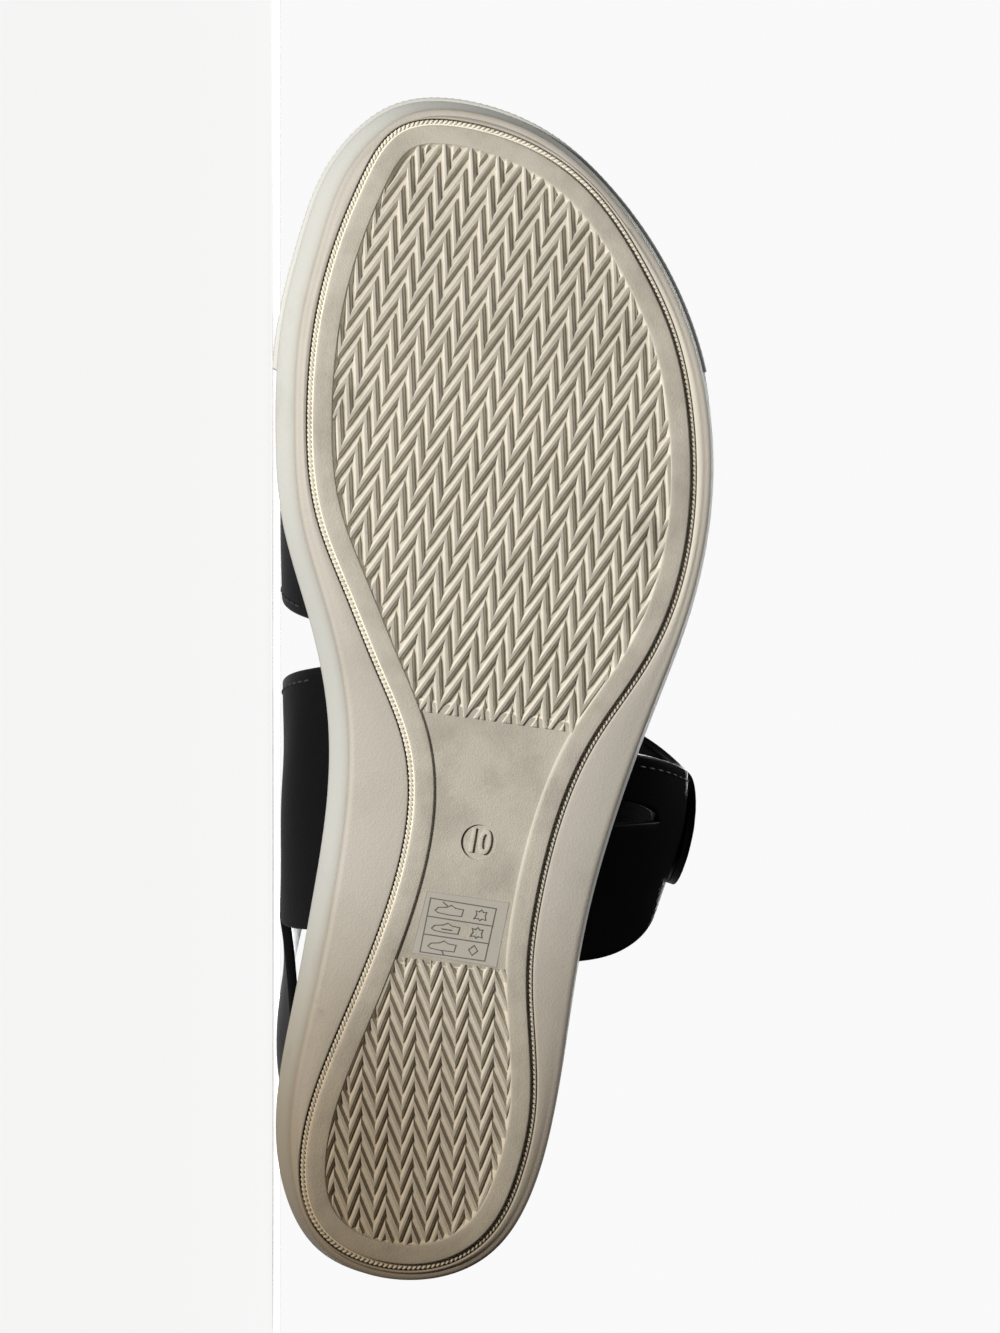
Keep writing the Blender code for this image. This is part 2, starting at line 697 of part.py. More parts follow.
def quarter_straps():
    """The rear upper in one: inner quarter, instep strap, outer quarter on two legs, and heel strap."""
    sheet = Sheet()
    girths = full_girths()
    back_numbers = []
    front_numbers = []
    for girth in girths:
        open_share = max(0.0, (girth - LEG_GAP_APEX) / (1 - LEG_GAP_APEX))
        back_part, front_part = strap_row(QUARTER_STRAP, girth, QUARTER_COLUMNS, LEG_GAP_WIDTH * open_share)
        back_numbers.append(sheet.shell.add(back_part))
        if open_share > 0:
            front_numbers.append(sheet.shell.add(front_part))
        else:
            front_numbers.append([back_numbers[-1][-1], *sheet.shell.add(front_part[1:])])
    sheet.join(back_numbers)
    sheet.join(front_numbers)
    edges = []
    places = [round(girth, 2) for girth in girths]
    for low, high in (INNER_JOIN, OUTER_JOIN):
        rows = range(places.index(low), places.index(high) + 1)
        edges.append([back_numbers[i][0] for i in rows])
    inner_edge, outer_edge = edges[0], edges[1][::-1]
    points = np.array(sheet.shell.points)
    loop = [sheet.shell.add(places) for places in heel_columns(points[inner_edge], points[outer_edge])]
    columns = [inner_edge, *loop, outer_edge]
    for near, far in zip(columns, columns[1:]):
        for i in range(len(near) - 1):
            sheet.shell.faces.append((near[i], near[i + 1], far[i + 1], far[i]))
    return sheet.piece("quarter_straps", STRAP_WALL, BLACK_LEATHER)


def closure_tab():
    """The strap's free end on the outer quarter, held by hook and loop, with its round tip down."""
    sheet = Sheet()
    rows = []
    clear = STRAP_WALL / 2 + TAB_CLEARANCE + TAB_WALL / 2
    for girth in TAB_GIRTHS:
        rear = read(QUARTER_STRAP, "rear", girth) + TAB_MARGIN
        front = read(QUARTER_STRAP, "front", girth) - TAB_MARGIN
        past = TAB_ROUND_SHARE * max(0.0, girth - TAB_ROUND_FROM) / (TAB_GIRTHS[-1] - TAB_ROUND_FROM)
        narrowing = (front - rear) / 2 * (1 - math.sqrt(1 - past**2))
        row = []
        for along in np.linspace(rear + narrowing, front - narrowing, TAB_COLUMNS + 1):
            here = np.array(last_point(along, girth))
            ahead = np.array(last_point(along + LAST_STEP, girth)) - here
            onward = np.array(last_point(along, girth + LAST_STEP)) - here
            normal = np.cross(ahead, onward)
            row.append(here + clear * normal / np.linalg.norm(normal))
        rows.append(row)
    sheet.rows(rows)
    return sheet.piece("closure_tab", TAB_WALL, BLACK_LEATHER)


def corners(pieces):
    """Every corner of the pieces as built, in the shoe's frame."""
    graph = bpy.context.evaluated_depsgraph_get()
    found = []
    for piece in pieces:
        mesh = piece.evaluated_get(graph).to_mesh()
        found.append(np.array([corner.co for corner in mesh.vertices]))
    return np.vstack(found)


def lay_down(pieces, sole):
    """Lays the shoe on its inner side: the sole's ball and heel edges and a strap touch the floor."""
    points = corners(pieces)
    edges = corners([sole])
    yaw = Matrix.Identity(4)
    middle = SOLE_LENGTH * MM / 2
    for _ in range(SETTLING_ROUNDS):
        turned = edges @ np.array(yaw.to_3x3()).T
        ball = turned[turned[:, 1] > middle]
        heel = turned[turned[:, 1] <= middle]
        ball = ball[ball[:, 0].argmax()]
        heel = heel[heel[:, 0].argmax()]
        yaw = Matrix.Rotation(math.atan2(ball[0] - heel[0], ball[1] - heel[1]), 4, "Z") @ yaw
    turned = points @ np.array(yaw.to_3x3()).T
    above = turned[turned[:, 2] > ball[2] + RESTING_STRAP_RISE * MM]
    roll = np.arctan2(ball[0] - above[:, 0], above[:, 2] - ball[2]).min()
    to_world = Matrix(((0, -1, 0, 0), (0, 0, 1, 0), (-1, 0, 0, 0), (0, 0, 0, 1)))
    lying = to_world @ Matrix.Rotation(roll, 4, "Y") @ yaw
    laid = points @ np.array(lying.to_3x3()).T
    low, high = laid.min(axis=0), laid.max(axis=0)
    shift = ((low[0] + high[0]) / 2, (low[1] + high[1]) / 2, low[2])
    frame = bpy.data.objects.new("lying_frame", None)
    bpy.context.scene.collection.objects.link(frame)
    frame.matrix_world = Matrix.Translation([-value for value in shift]) @ lying
    for item in bpy.context.scene.objects:
        if item is not frame:
            item.parent = frame


def main():
    for item in list(bpy.data.objects):
        bpy.data.objects.remove(item, do_unlink=True)
    midsole = sole_unit()
    for name, table, columns in (("vamp", VAMP_STRAP, VAMP_COLUMNS), ("quarter", QUARTER_STRAP, QUARTER_COLUMNS)):
        for side, outer in (("inner", False), ("outer", True)):
            cut(midsole, slot_cutter(f"{name}_{side}_slot", table, columns, outer))
    pieces = [outsole(), midsole, footbed(), vamp_strap(), quarter_straps(), closure_tab()]
    bpy.context.view_layer.update()
    lay_down(pieces, midsole)


main()
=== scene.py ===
"""The looks of a sport sandal for the left foot, seen from below.

Pieces are modelled in the shoe's own frame, in millimetres: x towards the inner side of the foot, y from heel
to toe and z up from the ground that the shoe would stand on. They are then laid over the solids of the frame.
"""

import json
import math
from collections import namedtuple
from functools import cache

import bmesh
import bpy
import numpy as np
from mathutils import Matrix, Vector


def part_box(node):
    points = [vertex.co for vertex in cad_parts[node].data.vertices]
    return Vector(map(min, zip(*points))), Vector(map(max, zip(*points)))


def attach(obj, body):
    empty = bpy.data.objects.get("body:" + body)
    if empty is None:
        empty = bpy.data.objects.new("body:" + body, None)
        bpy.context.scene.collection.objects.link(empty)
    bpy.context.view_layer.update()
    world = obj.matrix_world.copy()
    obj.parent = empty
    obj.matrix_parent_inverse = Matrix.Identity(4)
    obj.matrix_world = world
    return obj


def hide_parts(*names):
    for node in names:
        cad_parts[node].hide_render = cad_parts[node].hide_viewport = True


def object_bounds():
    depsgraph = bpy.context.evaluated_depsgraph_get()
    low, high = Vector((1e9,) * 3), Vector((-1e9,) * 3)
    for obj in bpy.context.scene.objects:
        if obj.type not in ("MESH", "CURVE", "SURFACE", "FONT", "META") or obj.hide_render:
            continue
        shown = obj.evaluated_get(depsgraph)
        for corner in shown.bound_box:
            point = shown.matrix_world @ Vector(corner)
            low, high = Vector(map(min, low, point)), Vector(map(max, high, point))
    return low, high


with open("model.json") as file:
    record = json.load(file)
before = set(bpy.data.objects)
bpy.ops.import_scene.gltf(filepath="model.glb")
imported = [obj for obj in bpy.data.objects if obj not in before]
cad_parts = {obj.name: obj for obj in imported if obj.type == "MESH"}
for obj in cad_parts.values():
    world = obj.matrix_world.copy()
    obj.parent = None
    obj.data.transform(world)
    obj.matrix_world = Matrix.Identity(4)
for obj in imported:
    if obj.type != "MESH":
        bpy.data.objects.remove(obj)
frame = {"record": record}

bl_info = {
    "name": "Sport sandal",
    "version": (1, 0, 0),
    "blender": (4, 5, 0),
    "location": "3D View > Sidebar > Sandal",
    "description": "Builds the visible pieces of a sport sandal with a zigzag tread",
    "category": "Object",
}

CAD_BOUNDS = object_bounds()
MM = 0.001

# Sizes that the solids have, in millimetres
SOLE_LENGTH = 278.0
BALL_WIDTH = 103.0
HEEL_HEIGHT = 37.0
TOE_SPRING = 9.0
HEEL_LIFT = 1.0
WAIST_LIFT = 1.2
INSTEP_HEIGHT = 78.0
GAP = 0.3
FOOTBED_CLEARANCE = 0.4
SEAT_RELIEF = 0.1
FLARE_INNER = 4.6
FLARE_OUTER = 1.2
HEEL_FLARE_SHARE = 0.50
FULL_FLARE_FROM = 0.30
BORDER_LIFT = 0.8
BUMPER_STEP = 1.0
BUMPER_END = 0.77
SEAT_DEPTH = 5.0
GROOVE_WIDTH = 1.6
GROOVE_DEPTH = 1.6
INSERT_THICKNESS = 4.6
FRAME_WIDTH = 4.5
TREAD_DEPTH = 1.7
WAIST_DEPTH = 0.9
SIZE_DISC_RADIUS = 4.2
SIZE_DISC_DEPTH = 0.7
FOOTBED_PROUD = 1.2
HEEL_CUP = 3.0
HEEL_CUP_PLACE = 0.13
HEEL_CUP_REACH = 0.13
ARCH_RISE = 2.2
ARCH_PLACE = 0.42
ARCH_REACH = 0.12
STRAP_WALL = 2.4
TAB_WALL = 2.0
SLOT_DEPTH = 6.0
SLOT_WALL = 2.0
SLOT_LIP = 1.0
HEEL_STRAP_HEIGHT = 23.0
HEEL_STRAP_LEAN = math.radians(12)
HEEL_STRAP_EASE = 0.22
STRAP_INSET = SLOT_WALL + STRAP_WALL / 2
SEAT_INSET = SLOT_WALL + STRAP_WALL + SEAT_RELIEF
FOOTBED_INSET = SEAT_INSET + FOOTBED_CLEARANCE

# How finely the pieces are divided
RING_STEPS = 560
STRAP_COLUMNS = 16
HEEL_STRAP_COLUMNS = 110
GIRTH_ROWS = 200

# Edges sharper than this stay sharp
SHARP_ANGLE = math.radians(50)

# Small steps along an outline or a last
TURN_STEP = 0.0001
CRISP_STEP = 0.0004
LAST_STEP = 0.002


def table(kind, *rows):
    """Rows of numbers, with the names of their kind."""
    return tuple(kind(*row) for row in rows)


# Outlines seen from below. Places along are shares of the sole's length, widths of the ball's width
Section = namedtuple("Section", "along inner outer")
Tip = namedtuple("Tip", "along side")
SOLE_TIPS = (Tip(0.0, 0.119), Tip(1.0, 0.069))
SOLE_SECTIONS = table(
    Section,
    (0.020, 0.304, 0.060), (0.060, 0.383, 0.149), (0.120, 0.417, 0.207), (0.180, 0.407, 0.238),
    (0.250, 0.372, 0.265), (0.320, 0.339, 0.300), (0.400, 0.308, 0.361), (0.480, 0.307, 0.437),
    (0.560, 0.351, 0.515), (0.640, 0.412, 0.562), (0.720, 0.430, 0.566), (0.800, 0.421, 0.522),
    (0.870, 0.380, 0.436), (0.930, 0.326, 0.316), (0.975, 0.238, 0.171),
)
INSERT_TIPS = (Tip(0.017, 0.111), Tip(0.978, 0.069))
INSERT_SECTIONS = table(
    Section,
    (0.030, 0.254, 0.017), (0.060, 0.333, 0.094), (0.100, 0.354, 0.138), (0.150, 0.334, 0.164),
    (0.210, 0.276, 0.161), (0.270, 0.210, 0.155), (0.330, 0.154, 0.176), (0.400, 0.117, 0.225),
    (0.460, 0.131, 0.298), (0.520, 0.195, 0.405), (0.580, 0.262, 0.478), (0.640, 0.325, 0.511),
    (0.720, 0.352, 0.512), (0.800, 0.339, 0.470), (0.860, 0.304, 0.396), (0.920, 0.244, 0.284),
    (0.960, 0.185, 0.135),
)

# Thickness of the sole along its length, in heel heights, and where its underside leaves the ground
Profile = namedtuple("Profile", "along thick")
SOLE_PROFILE = table(
    Profile,
    (0.00, 1.00), (0.08, 1.00), (0.25, 0.97), (0.42, 0.84), (0.58, 0.71), (0.72, 0.63), (0.85, 0.59),
    (0.94, 0.56), (1.00, 0.54),
)
HEEL_FLAT_FROM = 0.07
WAIST_MIDDLE = 0.43
WAIST_REACH = 0.15
TOE_SPRING_FROM = 0.72

# The sole's side, bottom to top: height in shares of the thickness there, share of the flare,
# inset besides, share of the toe bumper's step
Step = namedtuple("Step", "height flare inset bumper")
SIDE_STEPS = table(
    Step,
    (0.040, 1.00, 1.60, 0.0), (0.042, 1.00, 1.10, 0.0), (0.049, 1.00, 0.60, 0.0),
    (0.062, 1.00, 0.25, 0.0), (0.080, 1.00, 0.06, 0.0), (0.105, 0.99, 0.00, 0.0),
    (0.140, 0.96, 0.00, 0.0), (0.190, 0.86, 0.00, 0.0), (0.250, 0.71, 0.00, 0.0),
    (0.310, 0.55, 0.00, 0.0), (0.370, 0.38, 0.00, 0.0), (0.430, 0.21, 0.00, 0.0),
    (0.480, 0.08, 0.00, 0.0), (0.515, 0.00, 0.00, 0.0), (0.531, 0.00, 0.08, 0.0),
    (0.538, 0.00, 0.30, 0.0), (0.542, 0.00, 0.80, 0.0), (0.548, 0.00, 0.90, 0.0),
    (0.574, 0.00, 0.90, 0.0), (0.580, 0.00, 0.80, 0.2), (0.584, 0.00, 0.30, 0.6),
    (0.591, 0.00, 0.08, 0.9), (0.604, 0.00, 0.02, 1.0), (0.680, 0.00, 0.05, 1.0),
    (0.780, 0.00, 0.10, 1.0), (0.868, 0.00, 0.16, 1.0), (0.882, 0.00, 0.20, 0.9),
    (0.889, 0.00, 0.24, 0.5), (0.893, 0.00, 0.28, 0.1), (0.900, 0.00, 0.30, 0.0),
    (0.950, 0.00, 0.35, 0.0), (0.978, 0.00, 0.45, 0.0), (0.993, 0.00, 0.70, 0.0),
    (1.000, 0.00, 1.20, 0.0),
)

# The last above the sole's rim: widest places and crown in ball widths, rises in instep heights
Last = namedtuple("Last", "along inner outer wide_rise crown crown_rise")
LAST_SECTIONS = table(
    Last,
    (0.22, 0.404, 0.380, 0.36, 0.01, 1.06), (0.30, 0.406, 0.465, 0.36, 0.00, 1.04),
    (0.38, 0.406, 0.530, 0.36, -0.01, 0.97), (0.46, 0.402, 0.530, 0.34, -0.02, 0.84),
    (0.54, 0.402, 0.525, 0.32, -0.02, 0.69), (0.62, 0.408, 0.560, 0.30, -0.01, 0.56),
    (0.72, 0.412, 0.575, 0.28, 0.00, 0.44), (0.82, 0.412, 0.528, 0.26, 0.02, 0.36),
    (0.88, 0.388, 0.455, 0.24, 0.03, 0.31),
)
SLOT_SHARE = 0.06
SPREAD_SHARE = 0.38
ROUNDNESS = 0.85

# Straps round the last: girth runs 0 at the inner sole edge, over the foot, to 1 at the outer edge
Band = namedtuple("Band", "girth rear front")
Strap = namedtuple("Strap", "girth rear split front")
VAMP_STRAP = table(
    Band,
    (0.00, 0.551, 0.833), (0.20, 0.575, 0.825), (0.35, 0.600, 0.815), (0.50, 0.615, 0.800),
    (0.65, 0.605, 0.795), (0.80, 0.585, 0.795), (1.00, 0.565, 0.795),
)
QUARTER_STRAP = table(
    Strap,
    (0.00, 0.295, 0.420, 0.520), (0.19, 0.300, 0.420, 0.505), (0.35, 0.340, 0.430, 0.487),
    (0.50, 0.385, 0.445, 0.485), (0.65, 0.360, 0.430, 0.465), (0.81, 0.305, 0.390, 0.427),
    (0.90, 0.272, 0.384, 0.436), (1.00, 0.264, 0.380, 0.4475),
)
LEG_GAP_APEX = 0.90
LEG_GAP_WIDTH = 0.028
INNER_JOIN = (0.19, 0.31)
OUTER_JOIN = (0.69, 0.81)

# Heel strap between the quarters, inner side first: sideways in ball widths, rise in instep heights
Loop = namedtuple("Loop", "side along rise")
HEEL_LOOP = table(
    Loop,
    (0.396, 0.215, 0.52), (0.375, 0.130, 0.50), (0.290, 0.060, 0.49), (0.110, 0.030, 0.49),
    (-0.070, 0.065, 0.50), (-0.165, 0.140, 0.53), (-0.240, 0.220, 0.58), (-0.300, 0.285, 0.65),
)

# Closure tab on the outer quarter
TAB_GIRTHS = (0.60, 0.81)
TAB_MARGIN = 0.010
TAB_ROUND_FROM = 0.765
TAB_ROUND_SHARE = 0.97
TAB_CLEARANCE = 0.6

# Slanted ends of the recessed panels, inner side first, in shares of the sole's length
FORE_PANEL = (0.484, 0.462)
HEEL_PANEL = (0.280, 0.265)
SIZE_DISC_PLACE = (0.373, -0.037)

# The zigzag ridges of a tread panel, in millimetres: middle of a peak, step along a row, step to the next
# row, the long stroke from peak to trough and the width of a ridge's top
Point = namedtuple("Point", "x y")
Zigzag = namedtuple("Zigzag", "peak along_row next_row stroke width")
FORE_ZIGZAG = Zigzag(Point(4.36, 174.93), Point(-6.24, -1.51), Point(2.00, -7.19), Point(-0.47, -9.54), 0.62)
HEEL_ZIGZAG = Zigzag(Point(10.72, 49.00), Point(-6.08, -0.05), Point(0.07, -5.89), Point(-3.18, -7.54), 0.56)
RIDGE_RECESS = 0.30
RIDGE_REACH = 2.2

# Smudges on the underside: middle across and along, radius in millimetres, and strength
Smudge = namedtuple("Smudge", "x y radius share")
RUBBER_SMUDGES = table(
    Smudge,
    (-7.0, 118.0, 7.0, 0.55), (6.0, 128.0, 9.0, 0.35), (-16.0, 122.0, 6.0, 0.40),
    (27.0, 205.0, 12.0, 0.35), (-44.0, 176.0, 14.0, 0.45), (-38.0, 222.0, 10.0, 0.40),
)
FOAM_SMUDGES = table(
    Smudge,
    (32.5, 64.0, 1.6, 0.75), (33.6, 66.5, 0.9, 0.55), (36.0, 96.0, 8.0, 0.18),
    (43.0, 150.0, 10.0, 0.22), (45.0, 205.0, 14.0, 0.20), (-28.0, 95.0, 9.0, 0.20),
)

# Painted shade: the colour darkens and browns towards the heel, in millimetres along: full up to the first,
# none from the second. Its inner side takes more painted shade, from none to full across, and so does its
# end, at a share of the strength
HEEL_PAINTED_SHADE = (5.0, 110.0)
INNER_PAINTED_SHADE = (30.0, 105.0)
INNER_PAINTED_SHADE_ACROSS = (-18.0, 28.0)
BACK_PAINTED_SHADE = (3.0, 22.0)
BACK_PAINTED_SHADE_SHARE = 0.6

# Fine details that only the scene has: counts of the zigzag, and sizes in millimetres. The rib margin and the
# pinstripe's end are shares of the sole's length. The rib line and the pinstripe's edges are heights and
# insets on the sole's side, and the seam round the footbed is a list of insets and drops
ZIGZAG_ROWS = 26
ZIGZAG_PEAKS = 14
ZIGZAG_STEPS = 24
TREAD_OVERRUN = 6.0
ROPE_SHIFT = 0.12
ROPE_SINK = 0.08
ROPE_HEIGHT = 0.8
RIB_MARGIN = 0.008
RIB_LINE = Step(0.74, 0.0, 0.02, 1.0)
RIB_HEIGHT = 0.4
PINSTRIPE_END = 0.255
PINSTRIPE_EDGES = ((0.549, 0.93), (0.549, 0.80), (0.573, 0.80), (0.573, 0.93))
FOOTBED_SEAM = ((2.6, 0.0), (3.1, 0.12), (3.5, 0.40), (3.9, 0.12), (4.4, 0.0))
RIM_WIDTH = 2.0
SEAT_EDGE = 0.3
STITCH_WIDTH = 0.55
STITCH_HEIGHT = 0.5

# The round mark's wall and its raised number, in millimetres. The narrowing is a share of the width, and
# the relief sets how worn the number looks
DISC_DRAFT = 0.12
DISC_OVERCUT = 2.0
DISC_MARGIN = 0.4
NUMBER_HEIGHT = 1.85 * SIZE_DISC_RADIUS
NUMBER_NARROWING = 0.75
NUMBER_BOLDNESS = 0.10
NUMBER_RISE = 0.34
NUMBER_BEVEL = 0.12
NUMBER_SINK = 0.24
NUMBER_TURN = math.radians(-9)
NUMBER_RELIEF = 0.26

# The label's film, its lines and their widths, in millimetres
FILM_HEIGHT = 0.10
LINE_HEIGHT = 0.14
LABEL_SINK = 0.2
LINE_WIDTH = 0.26

# Studio lights: place and aim in metres, side in metres, setting that holds the power, and colour
Lamp = namedtuple("Lamp", "name place aim side setting colour")
LAMPS = table(
    Lamp,
    ("key", (-0.24, -0.81, -0.56), (0, -0.04, 0.05), 0.18, "key_power", (1.0, 0.985, 0.955)),
    ("fill", (0.25, -0.9, 0.9), (0, 0, 0.04), 0.8, "fill_power", (0.95, 0.97, 1.0)),
    ("back", (-0.10, 1.25, 0.25), (0, 0, 0.04), 0.6, "back_power", (0.98, 0.99, 1.0)),
)
TOP_PLACE = (-0.4, 0.3, 1.1)
TOP_ANGLE = math.radians(25)
FLOOR_MOTTLE = 0.97

# Where the camera of the photo stood, in metres, how much of the sole one pixel shows, the photo's height in
# pixels and the sensor's in millimetres
CAMERA_DISTANCE = 1.25
CAMERA_HEIGHT = 0.003
CAMERA_TO_TOE = 0.005
PIXEL = 0.0002323
IMAGE_HEIGHT = 1333
SENSOR_HEIGHT = 24


class Smooth:
    """A natural cubic curve through the values at the knots."""

    def __init__(self, knots, values):
        self.knots = np.asarray(knots, float)
        self.values = np.asarray(values, float)
        spans = np.diff(self.knots)
        slopes = np.diff(self.values) / spans
        count = len(self.knots)
        system = np.eye(count)
        steps = np.zeros(count)
        for i in range(1, count - 1):
            system[i, i - 1 : i + 2] = spans[i - 1], 2 * (spans[i - 1] + spans[i]), spans[i]
            steps[i] = 6 * (slopes[i] - slopes[i - 1])
        bends = np.linalg.solve(system, steps)
        self.first = slopes - spans * (2 * bends[:-1] + bends[1:]) / 6
        self.second = bends[:-1] / 2
        self.third = np.diff(bends) / (6 * spans)

    def __call__(self, at):
        i = np.clip(np.searchsorted(self.knots, at, side="right") - 1, 0, len(self.knots) - 2)
        ahead = np.asarray(at) - self.knots[i]
        return self.values[i] + ahead * (self.first[i] + ahead * (self.second[i] + ahead * self.third[i]))


def column(table, name):
    """One named column of a table."""
    return [getattr(row, name) for row in table]


@cache
def curve(table, name):
    """A named column of a table as a smooth curve over its first column."""
    return Smooth(column(table, table[0]._fields[0]), column(table, name))


class Outline:
    """A closed outline. Its turn runs 0 at the heel, up the inner side, 0.5 at the toe and back to 1."""

    def __init__(self, sections, tips):
        self.heel, self.toe = tips
        turns = list(self.turn(np.array(column(sections, "along")), True))
        inner = column(sections, "inner")
        outer = [-side for side in column(sections, "outer")]
        knots = np.array([0.0] + turns + [0.5] + [1 - turn for turn in reversed(turns)])
        sides = [self.heel.side] + inner + [self.toe.side] + outer[::-1]
        self.side = Smooth(np.concatenate([knots - 1, knots, knots + 1]), np.array(sides * 3) * BALL_WIDTH)

    def turn(self, along, inner):
        """The turn at a share of the sole's length, on the inner or the outer side."""
        reach = (np.asarray(along) - self.heel.along) / (self.toe.along - self.heel.along)
        turn = np.arccos(np.clip(1 - 2 * reach, -1, 1)) / math.tau
        return np.where(inner, turn, 1 - turn)

    def middle(self, turns):
        """Points (x, y) of the outline at the turns."""
        reach = (1 - np.cos(math.tau * turns)) / 2
        along = self.heel.along + (self.toe.along - self.heel.along) * reach
        return np.stack([self.side(turns), along * SOLE_LENGTH], axis=-1)

    def at(self, turns, inset=0.0):
        """Points (x, y) at the turns, moved in square to the outline by inset."""
        turns = np.asarray(turns, float)
        return self.middle(turns) - self.outward(turns) * np.reshape(inset, (-1, 1))

    def outward(self, turns):
        """The unit direction that points out of the outline."""
        ahead = self.middle(turns + TURN_STEP) - self.middle(turns - TURN_STEP)
        ahead /= np.linalg.norm(ahead, axis=-1, keepdims=True)
        return np.stack([ahead[..., 1], -ahead[..., 0]], axis=-1)


SOLE = Outline(SOLE_SECTIONS, SOLE_TIPS)
INSERT = Outline(INSERT_SECTIONS, INSERT_TIPS)


def ground(y):
    """Height of the sole's underside: flat under heel and ball, raised at the back, the waist and the toe."""
    along = np.asarray(y) / SOLE_LENGTH
    back = np.maximum(0, 1 - along / HEEL_FLAT_FROM) ** 2
    toe = np.maximum(0, (along - TOE_SPRING_FROM) / (1 - TOE_SPRING_FROM)) ** 2
    waist = np.clip((along - WAIST_MIDDLE) / WAIST_REACH, -1, 1)
    return HEEL_LIFT * back + WAIST_LIFT * np.cos(waist * math.pi / 2) ** 2 + TOE_SPRING * toe


def thickness(y):
    """Height of the sole's side from its underside to its rim."""
    return HEEL_HEIGHT * curve(SOLE_PROFILE, "thick")(np.asarray(y) / SOLE_LENGTH)


def rim(y):
    """Height of the rim round the footbed."""
    return ground(y) + thickness(y)


def lifted(points, heights):
    """Points (x, y) with their heights added."""
    return np.column_stack([points, np.broadcast_to(heights, len(points))])


def smoothstep(values, low, high):
    """0 below low, 1 above high and a soft step between."""
    share = np.clip((np.asarray(values) - low) / (high - low), 0, 1)
    return share * share * (3 - 2 * share)


def paired_turns(*ends):
    """Turns round a ring whose inner and outer halves pair up across slanted lines, crisp at each line.

    Each end gives the shares of the length where a line meets the inner and the outer side of the insert."""
    halves = []
    for side, inner in enumerate((True, False)):
        anchors = [0.0, *(float(INSERT.turn(end[side], inner)) for end in ends), 0.5]
        anchors = [anchor if anchor <= 0.5 else 1 - anchor for anchor in anchors]
        counts = [round(RING_STEPS / 2 * (high - low) / 0.5) for low, high in zip(anchors, anchors[1:])]
        halves.append((anchors, counts))
    counts = [max(pair) for pair in zip(halves[0][1], halves[1][1])]
    rings = []
    for anchors, _ in halves:
        parts = []
        for low, high, count in zip(anchors, anchors[1:], counts):
            start = low if low == 0.0 else low + CRISP_STEP
            stop = high if high == 0.5 else high - CRISP_STEP
            parts.append(np.linspace(start, stop, count + 1))
        rings.append(np.concatenate(parts))
    return np.concatenate([rings[0], 1 - rings[1][-2:0:-1]])


def ring_turns(*crisp):
    """Turns round a ring, with a close pair at each crisp share of the length, the same on both sides."""
    half = np.linspace(0, 0.5, RING_STEPS // 2 + 1)[1:-1]
    extra = [float(SOLE.turn(along, True)) + step for along in crisp for step in (-CRISP_STEP, CRISP_STEP)]
    half = np.sort(np.concatenate([half, extra]))
    return np.concatenate([[0.0], half, [0.5], 1 - half[::-1]])


class Shell:
    """Points and faces of one piece, in the shoe's frame."""

    def __init__(self):
        self.points = []
        self.faces = []
        self.count = 0

    def add(self, points):
        """Adds points and gives their numbers."""
        first = self.count
        self.points.append(np.asarray(points, float))
        self.count += len(points)
        return list(range(first, self.count))

    def join(self, rows):
        """Faces between rows of as many points."""
        for row, following in zip(rows, rows[1:]):
            for i in range(len(row) - 1):
                self.faces.append((row[i], row[i + 1], following[i + 1], following[i]))

    def bands(self, rings):
        """Faces between closed rings of as many points."""
        self.join([ring + ring[:1] for ring in rings])

    def crowned(self, ring, columns, height, up=True):
        """Closes a ring with a grid whose inner points stand at height(x, y, share across, rung)."""
        places = np.vstack(self.points)
        count = len(ring)
        half = count // 2
        shares = np.arange(1, columns) / columns
        rungs = []
        for i in range(1, half):
            inner = places[ring[i]]
            outer = places[ring[count - i]]
            points = inner + (outer - inner) * shares[:, None]
            points[:, 2] = height(points[:, 0], points[:, 1], shares, i)
            rungs.append([ring[i], *self.add(points), ring[count - i]])
        faces = []
        for rung, following in zip(rungs, rungs[1:]):
            for i in range(columns):
                faces.append((rung[i], following[i], following[i + 1], rung[i + 1]))
        for i in range(columns):
            faces.append((ring[0], rungs[0][i], rungs[0][i + 1]))
            faces.append((ring[half], rungs[-1][i + 1], rungs[-1][i]))
        self.faces += faces if up else [face[::-1] for face in faces]

    def mesh(self, name, material):
        """The mesh, in millimetres."""
        mesh = bpy.data.meshes.new(name)
        mesh.from_pydata(np.vstack(self.points).tolist(), [], self.faces)
        mesh.validate()
        mesh.materials.append(material)
        return mesh


def shown(name, data):
    """An object in the scene for a mesh, letters, a light or a camera."""
    item = bpy.data.objects.new(name, data)
    bpy.context.scene.collection.objects.link(item)
    return item


def plain(item):
    """The plain mesh that an object's modifiers and nodes give. The object is removed."""
    graph = bpy.context.evaluated_depsgraph_get()
    graph.update()
    found = item.evaluated_get(graph)
    mesh = bpy.data.meshes.new_from_object(found, preserve_all_data_layers=True, depsgraph=graph)
    mesh.name = item.name
    bpy.data.objects.remove(item, do_unlink=True)
    return mesh


def corners(mesh):
    """The places of a mesh's corners."""
    places = np.zeros(len(mesh.vertices) * 3)
    mesh.vertices.foreach_get("co", places)
    return places.reshape(-1, 3)


def write(mesh, name, values):
    """Stores a number or a vector for each corner of a mesh."""
    values = np.asarray(values, np.float32)
    kind = "FLOAT" if values.ndim == 1 else "FLOAT_VECTOR"
    layer = mesh.attributes.get(name) or mesh.attributes.new(name, kind, "POINT")
    layer.data.foreach_set("value" if values.ndim == 1 else "vector", values.ravel())


